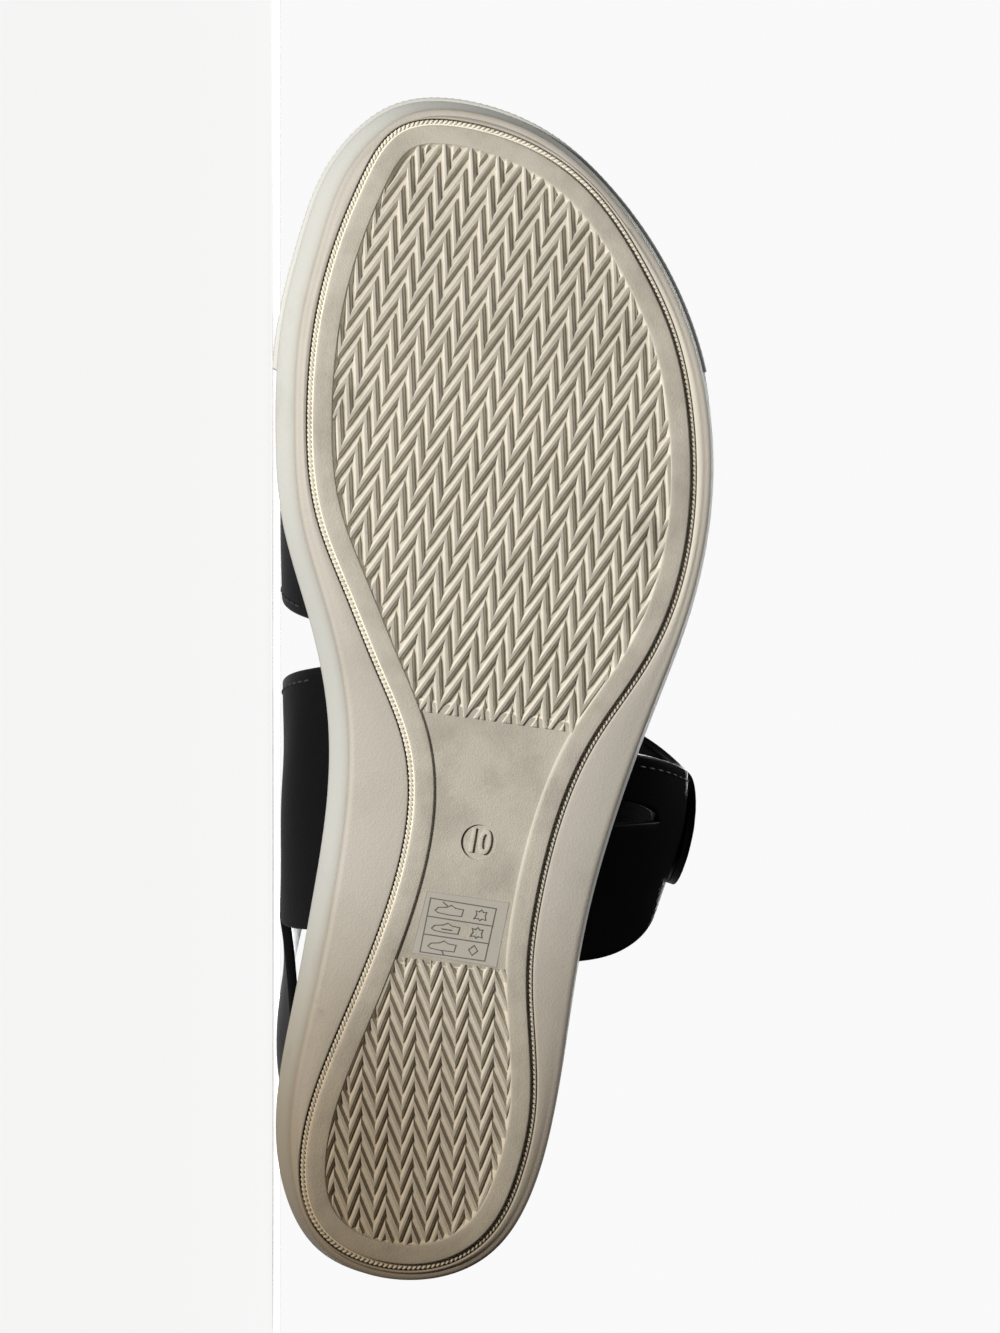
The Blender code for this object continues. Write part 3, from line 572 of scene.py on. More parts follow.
def resting_matrix():
    """The shoe's frame in the world: the sole's inner edge lies on the floor, lined up with the wedge."""
    face = next(mount for mount in frame["record"]["mounts"] if mount["name"] == "heel_sole")
    up = -Vector(face["axis"]).normalized()
    edge = SOLE.middle(np.linspace(0, 0.5, RING_STEPS))
    upper = edge[:, 1] > SOLE_LENGTH / 2
    yaw = 0.0
    for _ in range(8):
        across = edge[:, 0] * math.cos(yaw) - edge[:, 1] * math.sin(yaw)
        forward = edge[:, 0] * math.sin(yaw) + edge[:, 1] * math.cos(yaw)
        ball = np.argmax(np.where(upper, across, -np.inf))
        heel = np.argmax(np.where(upper, -np.inf, across))
        yaw += math.atan2(across[ball] - across[heel], forward[ball] - forward[heel])
    toe = Vector((-1, 0, 0))
    inner = toe.cross(up)
    side = inner * math.cos(yaw) + toe * math.sin(yaw)
    ahead = toe * math.cos(yaw) - inner * math.sin(yaw)
    axes = Matrix((side, ahead, up))
    low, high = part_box("midsole")
    turns = ring_turns()
    sides = np.vstack([side_ring(turns, step) for step in SIDE_STEPS]) @ np.array(axes) * MM
    lowest, highest = sides.min(axis=0), sides.max(axis=0)
    away = Vector(((low.x + high.x - lowest[0] - highest[0]) / 2, 0.0, low.z - lowest[2]))
    away.y = (Vector(face["pos_m"]).dot(up) - away.z * up.z) / up.y
    return Matrix.Translation(away) @ axes.transposed().to_4x4() @ Matrix.Scale(MM, 4)


def settle(mesh, name, replaced=(), relief=None):
    """Lays a finished mesh in the world and makes it a piece of the object."""
    write(mesh, "place", corners(mesh))
    if relief is not None:
        write(mesh, "relief", relief)
    mesh.transform(TO_WORLD)
    mesh.name = name
    piece = shown(name, mesh)
    mesh.shade_smooth()
    mesh.set_sharp_from_angle(angle=SHARP_ANGLE)
    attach(piece, "root")
    if replaced:
        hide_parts(*replaced)
    return piece


def recalculated(mesh):
    """Points every face of a closed mesh outwards."""
    work = bmesh.new()
    work.from_mesh(mesh)
    bmesh.ops.remove_doubles(work, verts=work.verts, dist=0.0001)
    bmesh.ops.recalc_face_normals(work, faces=work.faces)
    work.to_mesh(mesh)
    work.free()
    return mesh


class Tree:
    """Short ways to build a node tree."""

    def __init__(self, tree):
        self.tree = tree

    def node(self, kind, settings=None, **inputs):
        """Adds a node, with its settings and the values or links of its inputs by name."""
        node = self.tree.nodes.new(kind)
        for name, value in (settings or {}).items():
            setattr(node, name, value)
        for name, value in inputs.items():
            self.plug(node, name.replace("_", " "), value)
        return node

    def plug(self, node, name, value):
        """Sets or links one input: its name, or in0, in1 and so on for its number."""
        number = name[2:] if name.startswith("in") else ""
        sockets = [item for item in node.inputs if item.enabled]
        socket = sockets[int(number)] if number.isdigit() else next(s for s in sockets if s.name == name)
        if isinstance(value, bpy.types.NodeSocket):
            self.tree.links.new(value, socket)
        else:
            socket.default_value = value

    def math(self, operation, *values):
        """A math node's output."""
        node = self.node("ShaderNodeMath", {"operation": operation})
        for i, value in enumerate(values):
            self.plug(node, f"in{i}", value)
        return node.outputs[0]

    def mix(self, factor, first, second, blend="MIX"):
        """A colour between two colours."""
        node = self.node(
            "ShaderNodeMix", {"data_type": "RGBA", "blend_type": blend}, Factor=factor, A=first, B=second,
        )
        return next(output for output in node.outputs if output.enabled)

    def ramp(self, value, low, high, to_low=0.0, to_high=1.0):
        """A value moved from one range to another, with soft ends."""
        node = self.node(
            "ShaderNodeMapRange", {"interpolation_type": "SMOOTHSTEP"},
            Value=value, From_Min=low, From_Max=high, To_Min=to_low, To_Max=to_high,
        )
        return node.outputs["Result"]

    def attribute(self, name, vector=False):
        """A corner value of the piece."""
        node = self.node("ShaderNodeAttribute", {"attribute_name": name})
        return node.outputs["Vector" if vector else "Fac"]

    def noise(self, vector, scale, detail=3.0, rough=0.55):
        """Noise whose grain is in the units of the vector."""
        node = self.node("ShaderNodeTexNoise", Vector=vector, Scale=scale, Detail=detail, Roughness=rough)
        return node.outputs["Fac"]

    def named(self, name, kind="FLOAT"):
        """A value that the corners of a geometry hold under a name."""
        node = self.node("GeometryNodeInputNamedAttribute", {"data_type": kind}, Name=name)
        return next(output for output in node.outputs if output.enabled)


def new_group(name, kind, inputs, outputs):
    """A node group with its named sockets. Gives the tree, the values given to it and its last node."""
    tree = bpy.data.node_groups.new(name, kind)
    for direction, sockets in (("INPUT", inputs), ("OUTPUT", outputs)):
        for socket, (socket_kind, value) in sockets.items():
            made = tree.interface.new_socket(
                name=socket, in_out=direction, socket_type="NodeSocket" + socket_kind,
            )
            if value is not None:
                made.default_value = value
    build = Tree(tree)
    return build, build.node("NodeGroupInput").outputs, build.node("NodeGroupOutput")


@cache
def soil_group():
    """Soil: cloudy dirt with finer specks, as a mask."""
    inputs = {
        "Place": ("Vector", None), "Size": ("Float", 20.0), "Cover": ("Float", 0.5), "Specks": ("Float", 0.2),
    }
    build, given, result = new_group("Soil", "ShaderNodeTree", inputs, {"Mask": ("Float", None)})
    scaled = build.node("ShaderNodeVectorMath", {"operation": "SCALE"}, in0=given["Place"])
    build.plug(scaled, "Scale", build.math("DIVIDE", 1.0, given["Size"]))
    cloud = build.noise(scaled.outputs[0], 1.0, 5.0, 0.62)
    lowest = build.math("MULTIPLY", build.math("SUBTRACT", 1.0, given["Cover"]), 0.9)
    mask = build.math("MULTIPLY", build.math("SUBTRACT", cloud, lowest), 2.6)
    fine = build.noise(given["Place"], 1.6, 2.0)
    specks = build.math("MULTIPLY", build.ramp(fine, 0.60, 0.72), given["Specks"])
    total = build.node("ShaderNodeClamp", Value=build.math("ADD", mask, specks))
    build.plug(result, "Mask", total.outputs[0])
    return build.tree


@cache
def grain_group():
    """Grain: the fine pebbling of a moulded or tanned surface, as a height."""
    inputs = {"Place": ("Vector", None), "Grain": ("Float", 3.0), "Waves": ("Float", 0.3)}
    build, given, result = new_group("Grain", "ShaderNodeTree", inputs, {"Height": ("Float", None)})
    cells = build.node("ShaderNodeTexVoronoi", {"feature": "F1"}, Vector=given["Place"], Scale=given["Grain"])
    waves = build.math("MULTIPLY", build.noise(given["Place"], 0.35, 3.0), given["Waves"])
    build.plug(result, "Height", build.math("ADD", cells.outputs["Distance"], waves))
    return build.tree


class Finish(Tree):
    """A material with its surface shader."""

    def __init__(self, name, roughness):
        self.material = bpy.data.materials.new(name)
        self.material.use_nodes = True
        super().__init__(self.material.node_tree)
        self.surface = self.tree.nodes["Principled BSDF"]
        self.plug(self.surface, "Roughness", roughness)
        self.place = self.attribute("place", True)

    def axis(self, name):
        """One coordinate of the place."""
        return self.node("ShaderNodeSeparateXYZ", Vector=self.place).outputs[name]

    def soil(self, size, cover, specks):
        """The mask of the soil group."""
        node = self.node(
            "ShaderNodeGroup", {"node_tree": soil_group()},
            Place=self.place, Size=size, Cover=cover, Specks=specks,
        )
        return node.outputs["Mask"]

    def spot(self, x, y, radius):
        """A ragged smudge round a place on the underside, as a mask."""
        centre = self.node("ShaderNodeCombineXYZ", X=x, Y=y)
        flat = self.node(
            "ShaderNodeVectorMath", {"operation": "MULTIPLY"}, in0=self.place, in1=(1.0, 1.0, 0.0),
        )
        reach = self.node(
            "ShaderNodeVectorMath", {"operation": "DISTANCE"},
            in0=flat.outputs["Vector"], in1=centre.outputs["Vector"],
        )
        ragged = self.math("MULTIPLY", self.noise(self.place, 2.5 / radius, 4.0, 0.7), 1.6 * radius)
        return self.ramp(self.math("ADD", reach.outputs["Value"], ragged), radius * 1.5, radius * 0.6)

    def colour(self, name):
        """One of the colours that a user can change."""
        return rgba(getattr(bpy.context.scene.sandal_colours, name))

    def shade(self, mask, plain_name, marked_name):
        """One colour with another where the mask is."""
        return self.mix(mask, self.colour(plain_name), self.colour(marked_name))

    def smudged(self, colour, smudges, name):
        """The colour with smudges of another on it."""
        for smudge in smudges:
            mask = self.math("MULTIPLY", self.spot(smudge.x, smudge.y, smudge.radius), smudge.share)
            colour = self.mix(mask, colour, self.colour(name))
        return colour

    def paint_shade_at_heel(self, colour, strength):
        """Paints shade into the colour: browner and darker towards the heel, and most of all on its inner
        side.
        """
        y = self.axis("Y")
        inner = self.ramp(y, *INNER_PAINTED_SHADE, strength, 0.0)
        inner = self.math("MULTIPLY", self.ramp(self.axis("X"), *INNER_PAINTED_SHADE_ACROSS), inner)
        back = self.ramp(y, *BACK_PAINTED_SHADE, BACK_PAINTED_SHADE_SHARE * strength, 0.0)
        # Painted shade: each mask darkens the colour by the heel's tint
        for mask in (self.ramp(y, *HEEL_PAINTED_SHADE, strength, 0.0), inner, back):
            colour = self.mix(mask, colour, self.mix(1.0, colour, self.colour("heel_tint"), "MULTIPLY"))
        return colour

    def done(self, colour, grain=None):
        """The material, with its colour and grain: size, waves, strength and depth in metres."""
        self.plug(self.surface, "Base Color", colour)
        if grain:
            fine, waves, strength, depth = grain
            node = self.node(
                "ShaderNodeGroup", {"node_tree": grain_group()}, Place=self.place, Grain=fine, Waves=waves,
            )
            height = node.outputs["Height"]
            bump = self.node("ShaderNodeBump", Strength=strength, Distance=depth, Height=height)
            self.plug(self.surface, "Normal", bump.outputs["Normal"])
        return self.material


def rgba(colour):
    """A property's colour as a socket wants it."""
    return (*colour[:3], 1.0)


@cache
def outsole_rubber():
    """Cream rubber: worn taupe on what touches the ground, brighter on the walls of the recesses, a darker
    floor that is partly dirt and partly painted shade, painted shade towards the heel.
    """
    finish = Finish("outsole_rubber", 0.62)
    relief = finish.attribute("relief")
    worn = finish.shade(finish.soil(14.0, 0.52, 0.25), "worn_rubber", "rubber_soil")
    walls = finish.shade(finish.soil(18.0, 0.40, 0.15), "clean_rubber", "worn_rubber")
    # Partly dirt, partly painted shade: the recess floors and the foot of their walls take a darker colour
    floors = finish.shade(finish.soil(12.0, 0.46, 0.3), "floor_rubber", "rubber_soil")
    recess = finish.mix(finish.ramp(relief, 0.75, 1.0), walls, floors)
    colour = finish.mix(finish.ramp(relief, 0.1, 0.6), worn, recess)
    colour = finish.smudged(colour, RUBBER_SMUDGES, "rubber_soil")
    # Painted shade towards the heel
    return finish.done(finish.paint_shade_at_heel(colour, 0.9), (2.4, 0.6, 0.25, 0.0002))


@cache
def midsole_foam():
    """Cream foam of the wedge: smudged border, cool pale side, painted light on the outer fore border,
    painted shade towards the heel.
    """
    finish = Finish("midsole_foam", 0.66)
    border = finish.shade(finish.soil(26.0, 0.47, 0.30), "foam", "foam_soil")
    # Painted light: the outer border ahead of the waist is lightened towards the rope's colour
    ahead = finish.ramp(finish.axis("Y"), 110.0, 160.0, 0.0, 0.6)
    outer = finish.math("MULTIPLY", finish.ramp(finish.axis("X"), -38.0, -54.0), ahead)
    border = finish.mix(outer, border, finish.colour("rope"))
    side = finish.shade(finish.soil(16.0, 0.35, 0.2), "foam_side", "foam")
    colour = finish.mix(finish.ramp(finish.attribute("relief"), 0.35, 0.75), border, side)
    colour = finish.smudged(colour, FOAM_SMUDGES, "scuff")
    # Painted shade towards the heel
    return finish.done(finish.paint_shade_at_heel(colour, 1.0), (1.8, 0.8, 0.2, 0.0002))


@cache
def rope_rubber():
    """Bright moulded rope in the groove."""
    finish = Finish("rope_rubber", 0.6)
    colour = finish.shade(finish.soil(9.0, 0.45, 0.3), "rope", "worn_rubber")
    # Painted shade towards the heel
    return finish.done(finish.paint_shade_at_heel(colour, 0.9), (3.0, 0.4, 0.2, 0.0001))


@cache
def strap_leather():
    """Black leather with a fine grain and a low sheen."""
    finish = Finish("strap_leather", 0.46)
    dust = finish.soil(22.0, 0.30, 0.15)
    finish.plug(finish.surface, "Roughness", finish.ramp(dust, 0.0, 1.0, 0.42, 0.62))
    finish.plug(finish.surface, "Specular IOR Level", 0.05)
    return finish.done(finish.shade(dust, "leather", "leather_dust"), (1.9, 0.5, 0.16, 0.0002))


@cache
def thread_black():
    """Black sewing thread."""
    finish = Finish("thread_black", 0.6)
    fibres = finish.noise(finish.place, 4.0, 2.0)
    return finish.done(finish.shade(fibres, "leather", "thread"), (5.0, 0.2, 0.3, 0.0001))


@cache
def footbed_lining():
    """Black napped lining, a little greyer where the foot rubs it."""
    finish = Finish("footbed_lining", 0.85)
    finish.plug(finish.surface, "Sheen Weight", 0.25)
    colour = finish.shade(finish.soil(30.0, 0.50, 0.4), "lining", "lining_worn")
    return finish.done(colour, (4.0, 0.3, 0.4, 0.0002))


@cache
def label_film():
    """The faint film of a label, and the grey print on it."""
    finish = Finish("label_film", 0.35)
    colour = finish.shade(finish.attribute("relief"), "label", "label_print")
    faint_soil = finish.math("MULTIPLY", finish.soil(30.0, 0.5, 0.0), 0.3)
    return finish.done(finish.mix(faint_soil, colour, finish.colour("rubber_soil")))


@cache
def pinstripe_black():
    """Black paint in the groove of the heel's side."""
    finish = Finish("pinstripe_black", 0.5)
    scuffs = finish.ramp(finish.noise(finish.place, 0.7, 4.0), 0.6, 0.75)
    return finish.done(finish.shade(scuffs, "leather", "foam_soil"))


@cache
def pale_floor():
    """Plain pale floor."""
    finish = Finish("pale_floor", 0.8)
    stage = bpy.context.scene.sandal_stage
    mottle = finish.noise(finish.node("ShaderNodeTexCoord").outputs["Object"], 6.0)
    shade = tuple(FLOOR_MOTTLE * value for value in stage.floor_colour[:3])
    finish.plug(finish.surface, "Specular IOR Level", 0.0)
    finish.plug(finish.surface, "Emission Color", rgba(stage.floor_colour))
    finish.plug(finish.surface, "Emission Strength", stage.floor_glow)
    return finish.done(finish.mix(mottle, rgba(stage.floor_colour), rgba(shade)))


def closed_tree(build, result, name, geometry, material):
    """Ends a tree with plain corners and faces and their material."""
    real = build.node("GeometryNodeRealizeInstances", Geometry=geometry)
    done = build.node("GeometryNodeSetMaterial", Geometry=real.outputs["Geometry"], Material=material)
    build.plug(result, name, done.outputs["Geometry"])
    return build.tree


@cache
def ridge_tree():
    """Ridges along rails: a tapered bar with rounded edges, mitred at the rails' corners."""
    inputs = {
        "Rails": ("Geometry", None), "Top Width": ("Float", 1.2), "Base Width": ("Float", 1.7),
        "Height": ("Float", 1.6), "Rounding": ("Float", 0.25), "Material": ("Material", None),
    }
    build, given, result = new_group("Ridges", "GeometryNodeTree", inputs, {"Ridges": ("Geometry", None)})
    bar = build.node(
        "GeometryNodeCurvePrimitiveQuadrilateral", {"mode": "TRAPEZOID"}, Height=given["Height"],
        Top_Width=given["Top Width"], Bottom_Width=given["Base Width"], Offset=0.0,
    )
    round_bar = build.node(
        "GeometryNodeFilletCurve", {"mode": "POLY"},
        Curve=bar.outputs["Curve"], Count=3, Radius=given["Rounding"], Limit_Radius=True,
    )
    place = build.node("ShaderNodeSeparateXYZ", Vector=build.node("GeometryNodeInputPosition").outputs[0])
    marked = build.node(
        "GeometryNodeStoreNamedAttribute", {"data_type": "FLOAT", "domain": "POINT"},
        Geometry=round_bar.outputs["Curve"], Name="rise", Value=place.outputs["Y"],
    )
    rails = build.node("GeometryNodeMeshToCurve", Mesh=given["Rails"])
    upright = build.node("GeometryNodeSetCurveNormal", {"mode": "Z_UP"}, Curve=rails.outputs["Curve"])
    swept = build.node(
        "GeometryNodeCurveToMesh", Curve=upright.outputs["Curve"],
        Profile_Curve=marked.outputs["Geometry"], Scale=build.named("mitre"), Fill_Caps=True,
    )
    half = build.math("MULTIPLY", given["Height"], 0.5)
    lowered = build.math("ADD", build.named("level"), build.math("SUBTRACT", half, build.named("rise")))
    spot = build.node("ShaderNodeCombineXYZ", X=place.outputs["X"], Y=place.outputs["Y"], Z=lowered)
    moved = build.node("GeometryNodeSetPosition", Geometry=swept.outputs["Mesh"], Position=spot.outputs[0])
    return closed_tree(build, result, "Ridges", moved.outputs["Geometry"], given["Material"])


@cache
def bead_tree():
    """Beads along rails, such as stitches, ribs or the turns of a rope: round bars, slanted to the rail."""
    inputs = {
        "Rails": ("Geometry", None), "Pitch": ("Float", 1.6), "Length": ("Float", 2.0),
        "Width": ("Float", 0.8), "Height": ("Float", 0.8), "Slant": ("Float", 0.6),
        "Material": ("Material", None),
    }
    build, given, result = new_group("Beads", "GeometryNodeTree", inputs, {"Beads": ("Geometry", None)})
    rails = build.node("GeometryNodeMeshToCurve", Mesh=given["Rails"])
    spaced = build.node("GeometryNodeResampleCurve", {"mode": "LENGTH"}, Curve=rails.outputs["Curve"])
    build.plug(spaced, "Length", given["Pitch"])
    bead = build.node("GeometryNodeMeshUVSphere", Segments=8, Rings=6, Radius=0.5)
    facing = build.node(
        "FunctionNodeAxesToRotation", {"primary_axis": "Z", "secondary_axis": "X"},
        in0=build.named("outward", "FLOAT_VECTOR"), in1=build.node("GeometryNodeInputTangent").outputs[0],
    )
    angle = build.node("ShaderNodeCombineXYZ", Z=given["Slant"])
    slant = build.node("FunctionNodeEulerToRotation", Euler=angle.outputs[0])
    turned = build.node(
        "FunctionNodeRotateRotation", {"rotation_space": "LOCAL"},
        in0=facing.outputs[0], in1=slant.outputs[0],
    )
    size = build.node("ShaderNodeCombineXYZ", X=given["Length"], Y=given["Width"], Z=given["Height"])
    copies = build.node(
        "GeometryNodeInstanceOnPoints", Points=spaced.outputs["Curve"], Instance=bead.outputs["Mesh"],
        Rotation=turned.outputs[0], Scale=size.outputs[0],
    )
    return closed_tree(build, result, "Beads", copies.outputs["Instances"], given["Material"])


def size(name):
    """One of the lengths that a user can change, in millimetres."""
    return getattr(bpy.context.scene.sandal_sizes, name) / MM


def grown(name, tree, rails, values):
    """The plain mesh that a tree grows from rails: lists of points with their own corner values."""
    points = np.vstack([rail["points"] for rail in rails])
    edges = []
    first = 0
    for rail in rails:
        count = len(rail["points"])
        edges += [(first + i, first + i + 1) for i in range(count - 1)]
        if rail.get("closed"):
            edges.append((first + count - 1, first))
        first += count
    mesh = bpy.data.meshes.new(name)
    mesh.from_pydata(points.tolist(), edges, [])
    for key in rails[0]:
        if key not in ("points", "closed"):
            write(mesh, key, np.concatenate([rail[key] for rail in rails]))
    item = shown(name, mesh)
    growth = item.modifiers.new(name, "NODES")
    growth.node_group = tree
    for socket in tree.interface.items_tree:
        if socket.in_out == "INPUT" and socket.name in values:
            growth[socket.identifier] = values[socket.name]
    return plain(item)


def beads(name, rails, material, lengths, slant=0.0):
    """The plain mesh of beads along rails. The lengths are pitch, length, width and height of a bead."""
    values = dict(zip(("Pitch", "Length", "Width", "Height"), lengths), Slant=slant, Material=material)
    return grown(name, bead_tree(), rails, values)


def rounded(count):
    """A quarter circle of radius 1, as pairs of inset and drop."""
    return [(1 - math.cos(angle), 1 - math.sin(angle)) for angle in np.linspace(0, math.pi / 2, count)]


def flare(turns):
    """How far the bottom edge stays in from the widest line: most on the inner side, least at the heel."""
    inner_share = (1 + SOLE.outward(turns)[:, 0]) / 2
    forward = np.minimum(1.0, SOLE.middle(turns)[:, 1] / SOLE_LENGTH / FULL_FLARE_FROM)
    full = FLARE_OUTER + (FLARE_INNER - FLARE_OUTER) * inner_share
    return full * (HEEL_FLARE_SHARE + (1 - HEEL_FLARE_SHARE) * forward)


def side_ring(turns, step):
    """One ring of the sole's side."""
    y = SOLE.middle(turns)[:, 1]
    bumper = np.where(y > BUMPER_END * SOLE_LENGTH, BUMPER_STEP, 0.0)
    inset = step.inset + step.flare * flare(turns) - step.bumper * bumper
    return lifted(SOLE.at(turns, inset), ground(y) + step.height * thickness(y))


def insert_ring(turns, outward, above):
    """One ring round the insert, outward from the middle of its groove and above the ground."""
    points = INSERT.at(turns, -outward)
    return lifted(points, ground(points[:, 1]) + above)


def make_midsole():
    """The wedge, in one closed shell. Its relief is 0 on the border and 1 up its side."""
    shell = Shell()
    turns = ring_turns(BUMPER_END)
    lip = GROOVE_WIDTH / 2
    rounding = size("edge_rounding")
    rings = [shell.add(insert_ring(turns, lip, INSERT_THICKNESS + GAP))]
    for out, drop in rounded(5):
        rings.append(shell.add(insert_ring(turns, lip + rounding * out, BORDER_LIFT + rounding * drop)))
    inner = insert_ring(turns, lip + rounding, BORDER_LIFT)
    outer = side_ring(turns, SIDE_STEPS[0])
    lift = outer[:, 2] - ground(outer[:, 1]) - BORDER_LIFT
    for share in np.linspace(0, 1, 12)[1:-1]:
        row = inner + (outer - inner) * share
        bow = size("border_bow") * math.sin(math.pi * share)
        row[:, 2] = ground(row[:, 1]) + BORDER_LIFT + share * lift - bow
        rings.append(shell.add(row))
    side_from = shell.count
    rings += [shell.add(side_ring(turns, step)) for step in SIDE_STEPS]
    seat_edge = ((RIM_WIDTH, 0.0), (SEAT_INSET - SEAT_EDGE, 0.0), (SEAT_INSET, SEAT_EDGE))
    for inset, drop in (*seat_edge, (SEAT_INSET, SEAT_DEPTH)):
        seat = SOLE.at(turns, inset)
        rings.append(shell.add(lifted(seat, rim(seat[:, 1]) - drop)))
    shell.bands(rings)
    share = (np.arange(shell.count) - side_from) / (shell.count - side_from - 1)
    relief = np.clip(3 * share, 0, 1)
    shell.crowned(rings[0], 4, lambda x, y, across, i: ground(y) + INSERT_THICKNESS + GAP, up=False)
    shell.crowned(rings[-1], 4, lambda x, y, across, i: rim(y) - SEAT_DEPTH)
    relief = np.concatenate([relief, np.zeros(shell.count - len(relief))])
    mesh = shell.mesh("midsole", midsole_foam())
    return settle(mesh, "midsole_skin", ["midsole"], relief)


def panel_depth(along):
    """Depth of the recess round a ring, inner side first: shallow in the waist."""
    side = (np.arange(len(along)) > len(along) // 2).astype(int)
    waist = (along > np.take(HEEL_PANEL, side)) & (along < np.take(FORE_PANEL, side))
    return np.where(waist, WAIST_DEPTH, TREAD_DEPTH)


def outsole_mesh():
    """The insert: frame, recessed panels and hidden back, in one closed shell.

    Its relief is 0 where the rubber is worn, 0.7 on the clean walls and 1 on the floors of the tread."""
    shell = Shell()
    turns = paired_turns(HEEL_PANEL, FORE_PANEL)
    half = len(turns) // 2
    depth = panel_depth(INSERT.middle(turns)[:, 1] / SOLE_LENGTH)
    tread = np.where(depth > WAIST_DEPTH, 1.0, 0.0)
    wall = np.where(depth > WAIST_DEPTH, 0.6, 0.3)
    wide = GROOVE_WIDTH / 2 - GAP
    narrow = -GROOVE_WIDTH / 2
    inside = narrow - FRAME_WIDTH
    rounding = size("edge_rounding")
    slope = size("frame_draft") * depth / TREAD_DEPTH
    arc = rounded(5)
    profile = [(wide, INSERT_THICKNESS, 0.7), (wide, GROOVE_DEPTH, 0.7), (narrow, GROOVE_DEPTH, 0.7)]
    profile += [(narrow - rounding * drift, rounding * drop, 0.3 * drop) for drift, drop in arc]
    profile += [(narrow - FRAME_WIDTH * share, 0.0, 0.0) for share in (0.33, 0.67)]
    profile += [(inside + rounding * drift, rounding * drop, wall * drop) for drift, drop in reversed(arc)]
    for drift, share, mark in ((0.5, 0.5, wall), (0.92, 0.92, wall), (1.05, 0.99, tread), (1.35, 1.0, tread)):
        profile.append((inside - slope * drift, rounding + (depth - rounding) * share, mark))
    rings = [shell.add(insert_ring(turns, out, above)) for out, above, _ in profile]
    relief = [np.broadcast_to(mark, len(turns)) for _, _, mark in profile]
    shell.bands(rings)
    back_columns = 4
    floor_columns = 6
    shell.crowned(rings[0], back_columns, lambda x, y, across, i: ground(y) + INSERT_THICKNESS)
    shell.crowned(rings[-1], floor_columns, lambda x, y, across, i: ground(y) + depth[i], up=False)
    relief += [np.zeros((half - 1) * (back_columns - 1)), np.repeat(tread[1:half], floor_columns - 1)]
    mesh = shell.mesh("outsole", outsole_rubber())
    write(mesh, "relief", np.concatenate(relief))
    return recalculated(mesh)


def mark_middle(above):
    """The middle of the round size mark, at a height above the sole's underside."""
    along, side = SIZE_DISC_PLACE
    y = along * SOLE_LENGTH
    return Vector((side * BALL_WIDTH, y, float(ground(y)) + above))


def make_outsole():
    """The insert, with the round recess of the size mark cut into the waist."""
    item = shown("outsole", outsole_mesh())
    depth = WAIST_DEPTH + SIZE_DISC_DEPTH
    middle = mark_middle((depth - DISC_OVERCUT) / 2)
    work = bmesh.new()
    bmesh.ops.create_cone(
        work, cap_ends=True, segments=96, radius1=SIZE_DISC_RADIUS + DISC_DRAFT,
        radius2=SIZE_DISC_RADIUS - DISC_DRAFT, depth=depth + DISC_OVERCUT,
        matrix=Matrix.Translation(middle),
    )
    cutter_mesh = bpy.data.meshes.new("disc_cutter")
    work.to_mesh(cutter_mesh)
    work.free()
    cutter = shown("disc_cutter", cutter_mesh)
    cut = item.modifiers.new("disc", "BOOLEAN")
    cut.operation = "DIFFERENCE"
    cut.solver = "EXACT"
    cut.object = cutter
    mesh = plain(item)
    bpy.data.objects.remove(cutter, do_unlink=True)
    places = corners(mesh)
    relief = np.zeros(len(places))
    mesh.attributes["relief"].data.foreach_get("value", relief)
    from_middle = np.hypot(places[:, 0] - middle.x, places[:, 1] - middle.y)
    relief[from_middle < SIZE_DISC_RADIUS + DISC_MARGIN] = 0.0
    return settle(mesh, "outsole_skin", ["outsole"], relief)


def zigzag_rails(pattern, inside, level):
    """Rails for the rows of a zigzag pattern, cut where they leave the panel."""
    peak, row_step, next_row, stroke = (np.array(value) for value in pattern[:4])
    corner = row_step - stroke
    first = stroke / np.linalg.norm(stroke)
    second = corner / np.linalg.norm(corner)
    mitre = 1 / math.sqrt((1 + first @ second) / 2)
    rails = []
    for row in range(-ZIGZAG_ROWS, ZIGZAG_ROWS + 1):
        start = peak + row * next_row
        shift = -round(float(next_row @ row_step) / float(row_step @ row_step) * row)
        peaks = [start + i * row_step for i in range(shift - ZIGZAG_PEAKS, shift + ZIGZAG_PEAKS + 1)]
        zigzag = [point for top in peaks for point in (top, top + stroke)]
        spans = [np.linspace(a, b, ZIGZAG_STEPS, endpoint=False) for a, b in zip(zigzag, zigzag[1:])]
        places = np.concatenate(spans)
        kept = inside(places)
        starts = np.flatnonzero(kept & ~np.roll(kept, 1))
        ends = np.flatnonzero(kept & ~np.roll(kept, -1))
        for begin, end in zip(starts, ends):
            if end - begin < 3:
                continue
            between = [i for i in range(begin + 2, end - 1) if i % ZIGZAG_STEPS == 0]
            chosen = [begin, *between, end]
            points = places[chosen]
            sharp = np.array([mitre if i % ZIGZAG_STEPS == 0 else 1.0 for i in chosen])
            sharp[[0, -1]] = 1.0
            heights = ground(points[:, 1]) + level
            rails.append({"points": lifted(points, heights), "mitre": sharp, "level": heights})
    return rails


def within(polygon, points):
    """Whether each point lies in a polygon."""
    x, y = points[:, 0][:, None], points[:, 1][:, None]
    ahead = np.roll(polygon, -1, axis=0)
    crosses = (polygon[:, 1] > y) != (ahead[:, 1] > y)
    span = np.where(ahead[:, 1] == polygon[:, 1], 1e-9, ahead[:, 1] - polygon[:, 1])
    at = polygon[:, 0] + (y - polygon[:, 1]) / span * (ahead[:, 0] - polygon[:, 0])
    return (crosses & (x < at)).sum(axis=1) % 2 == 1


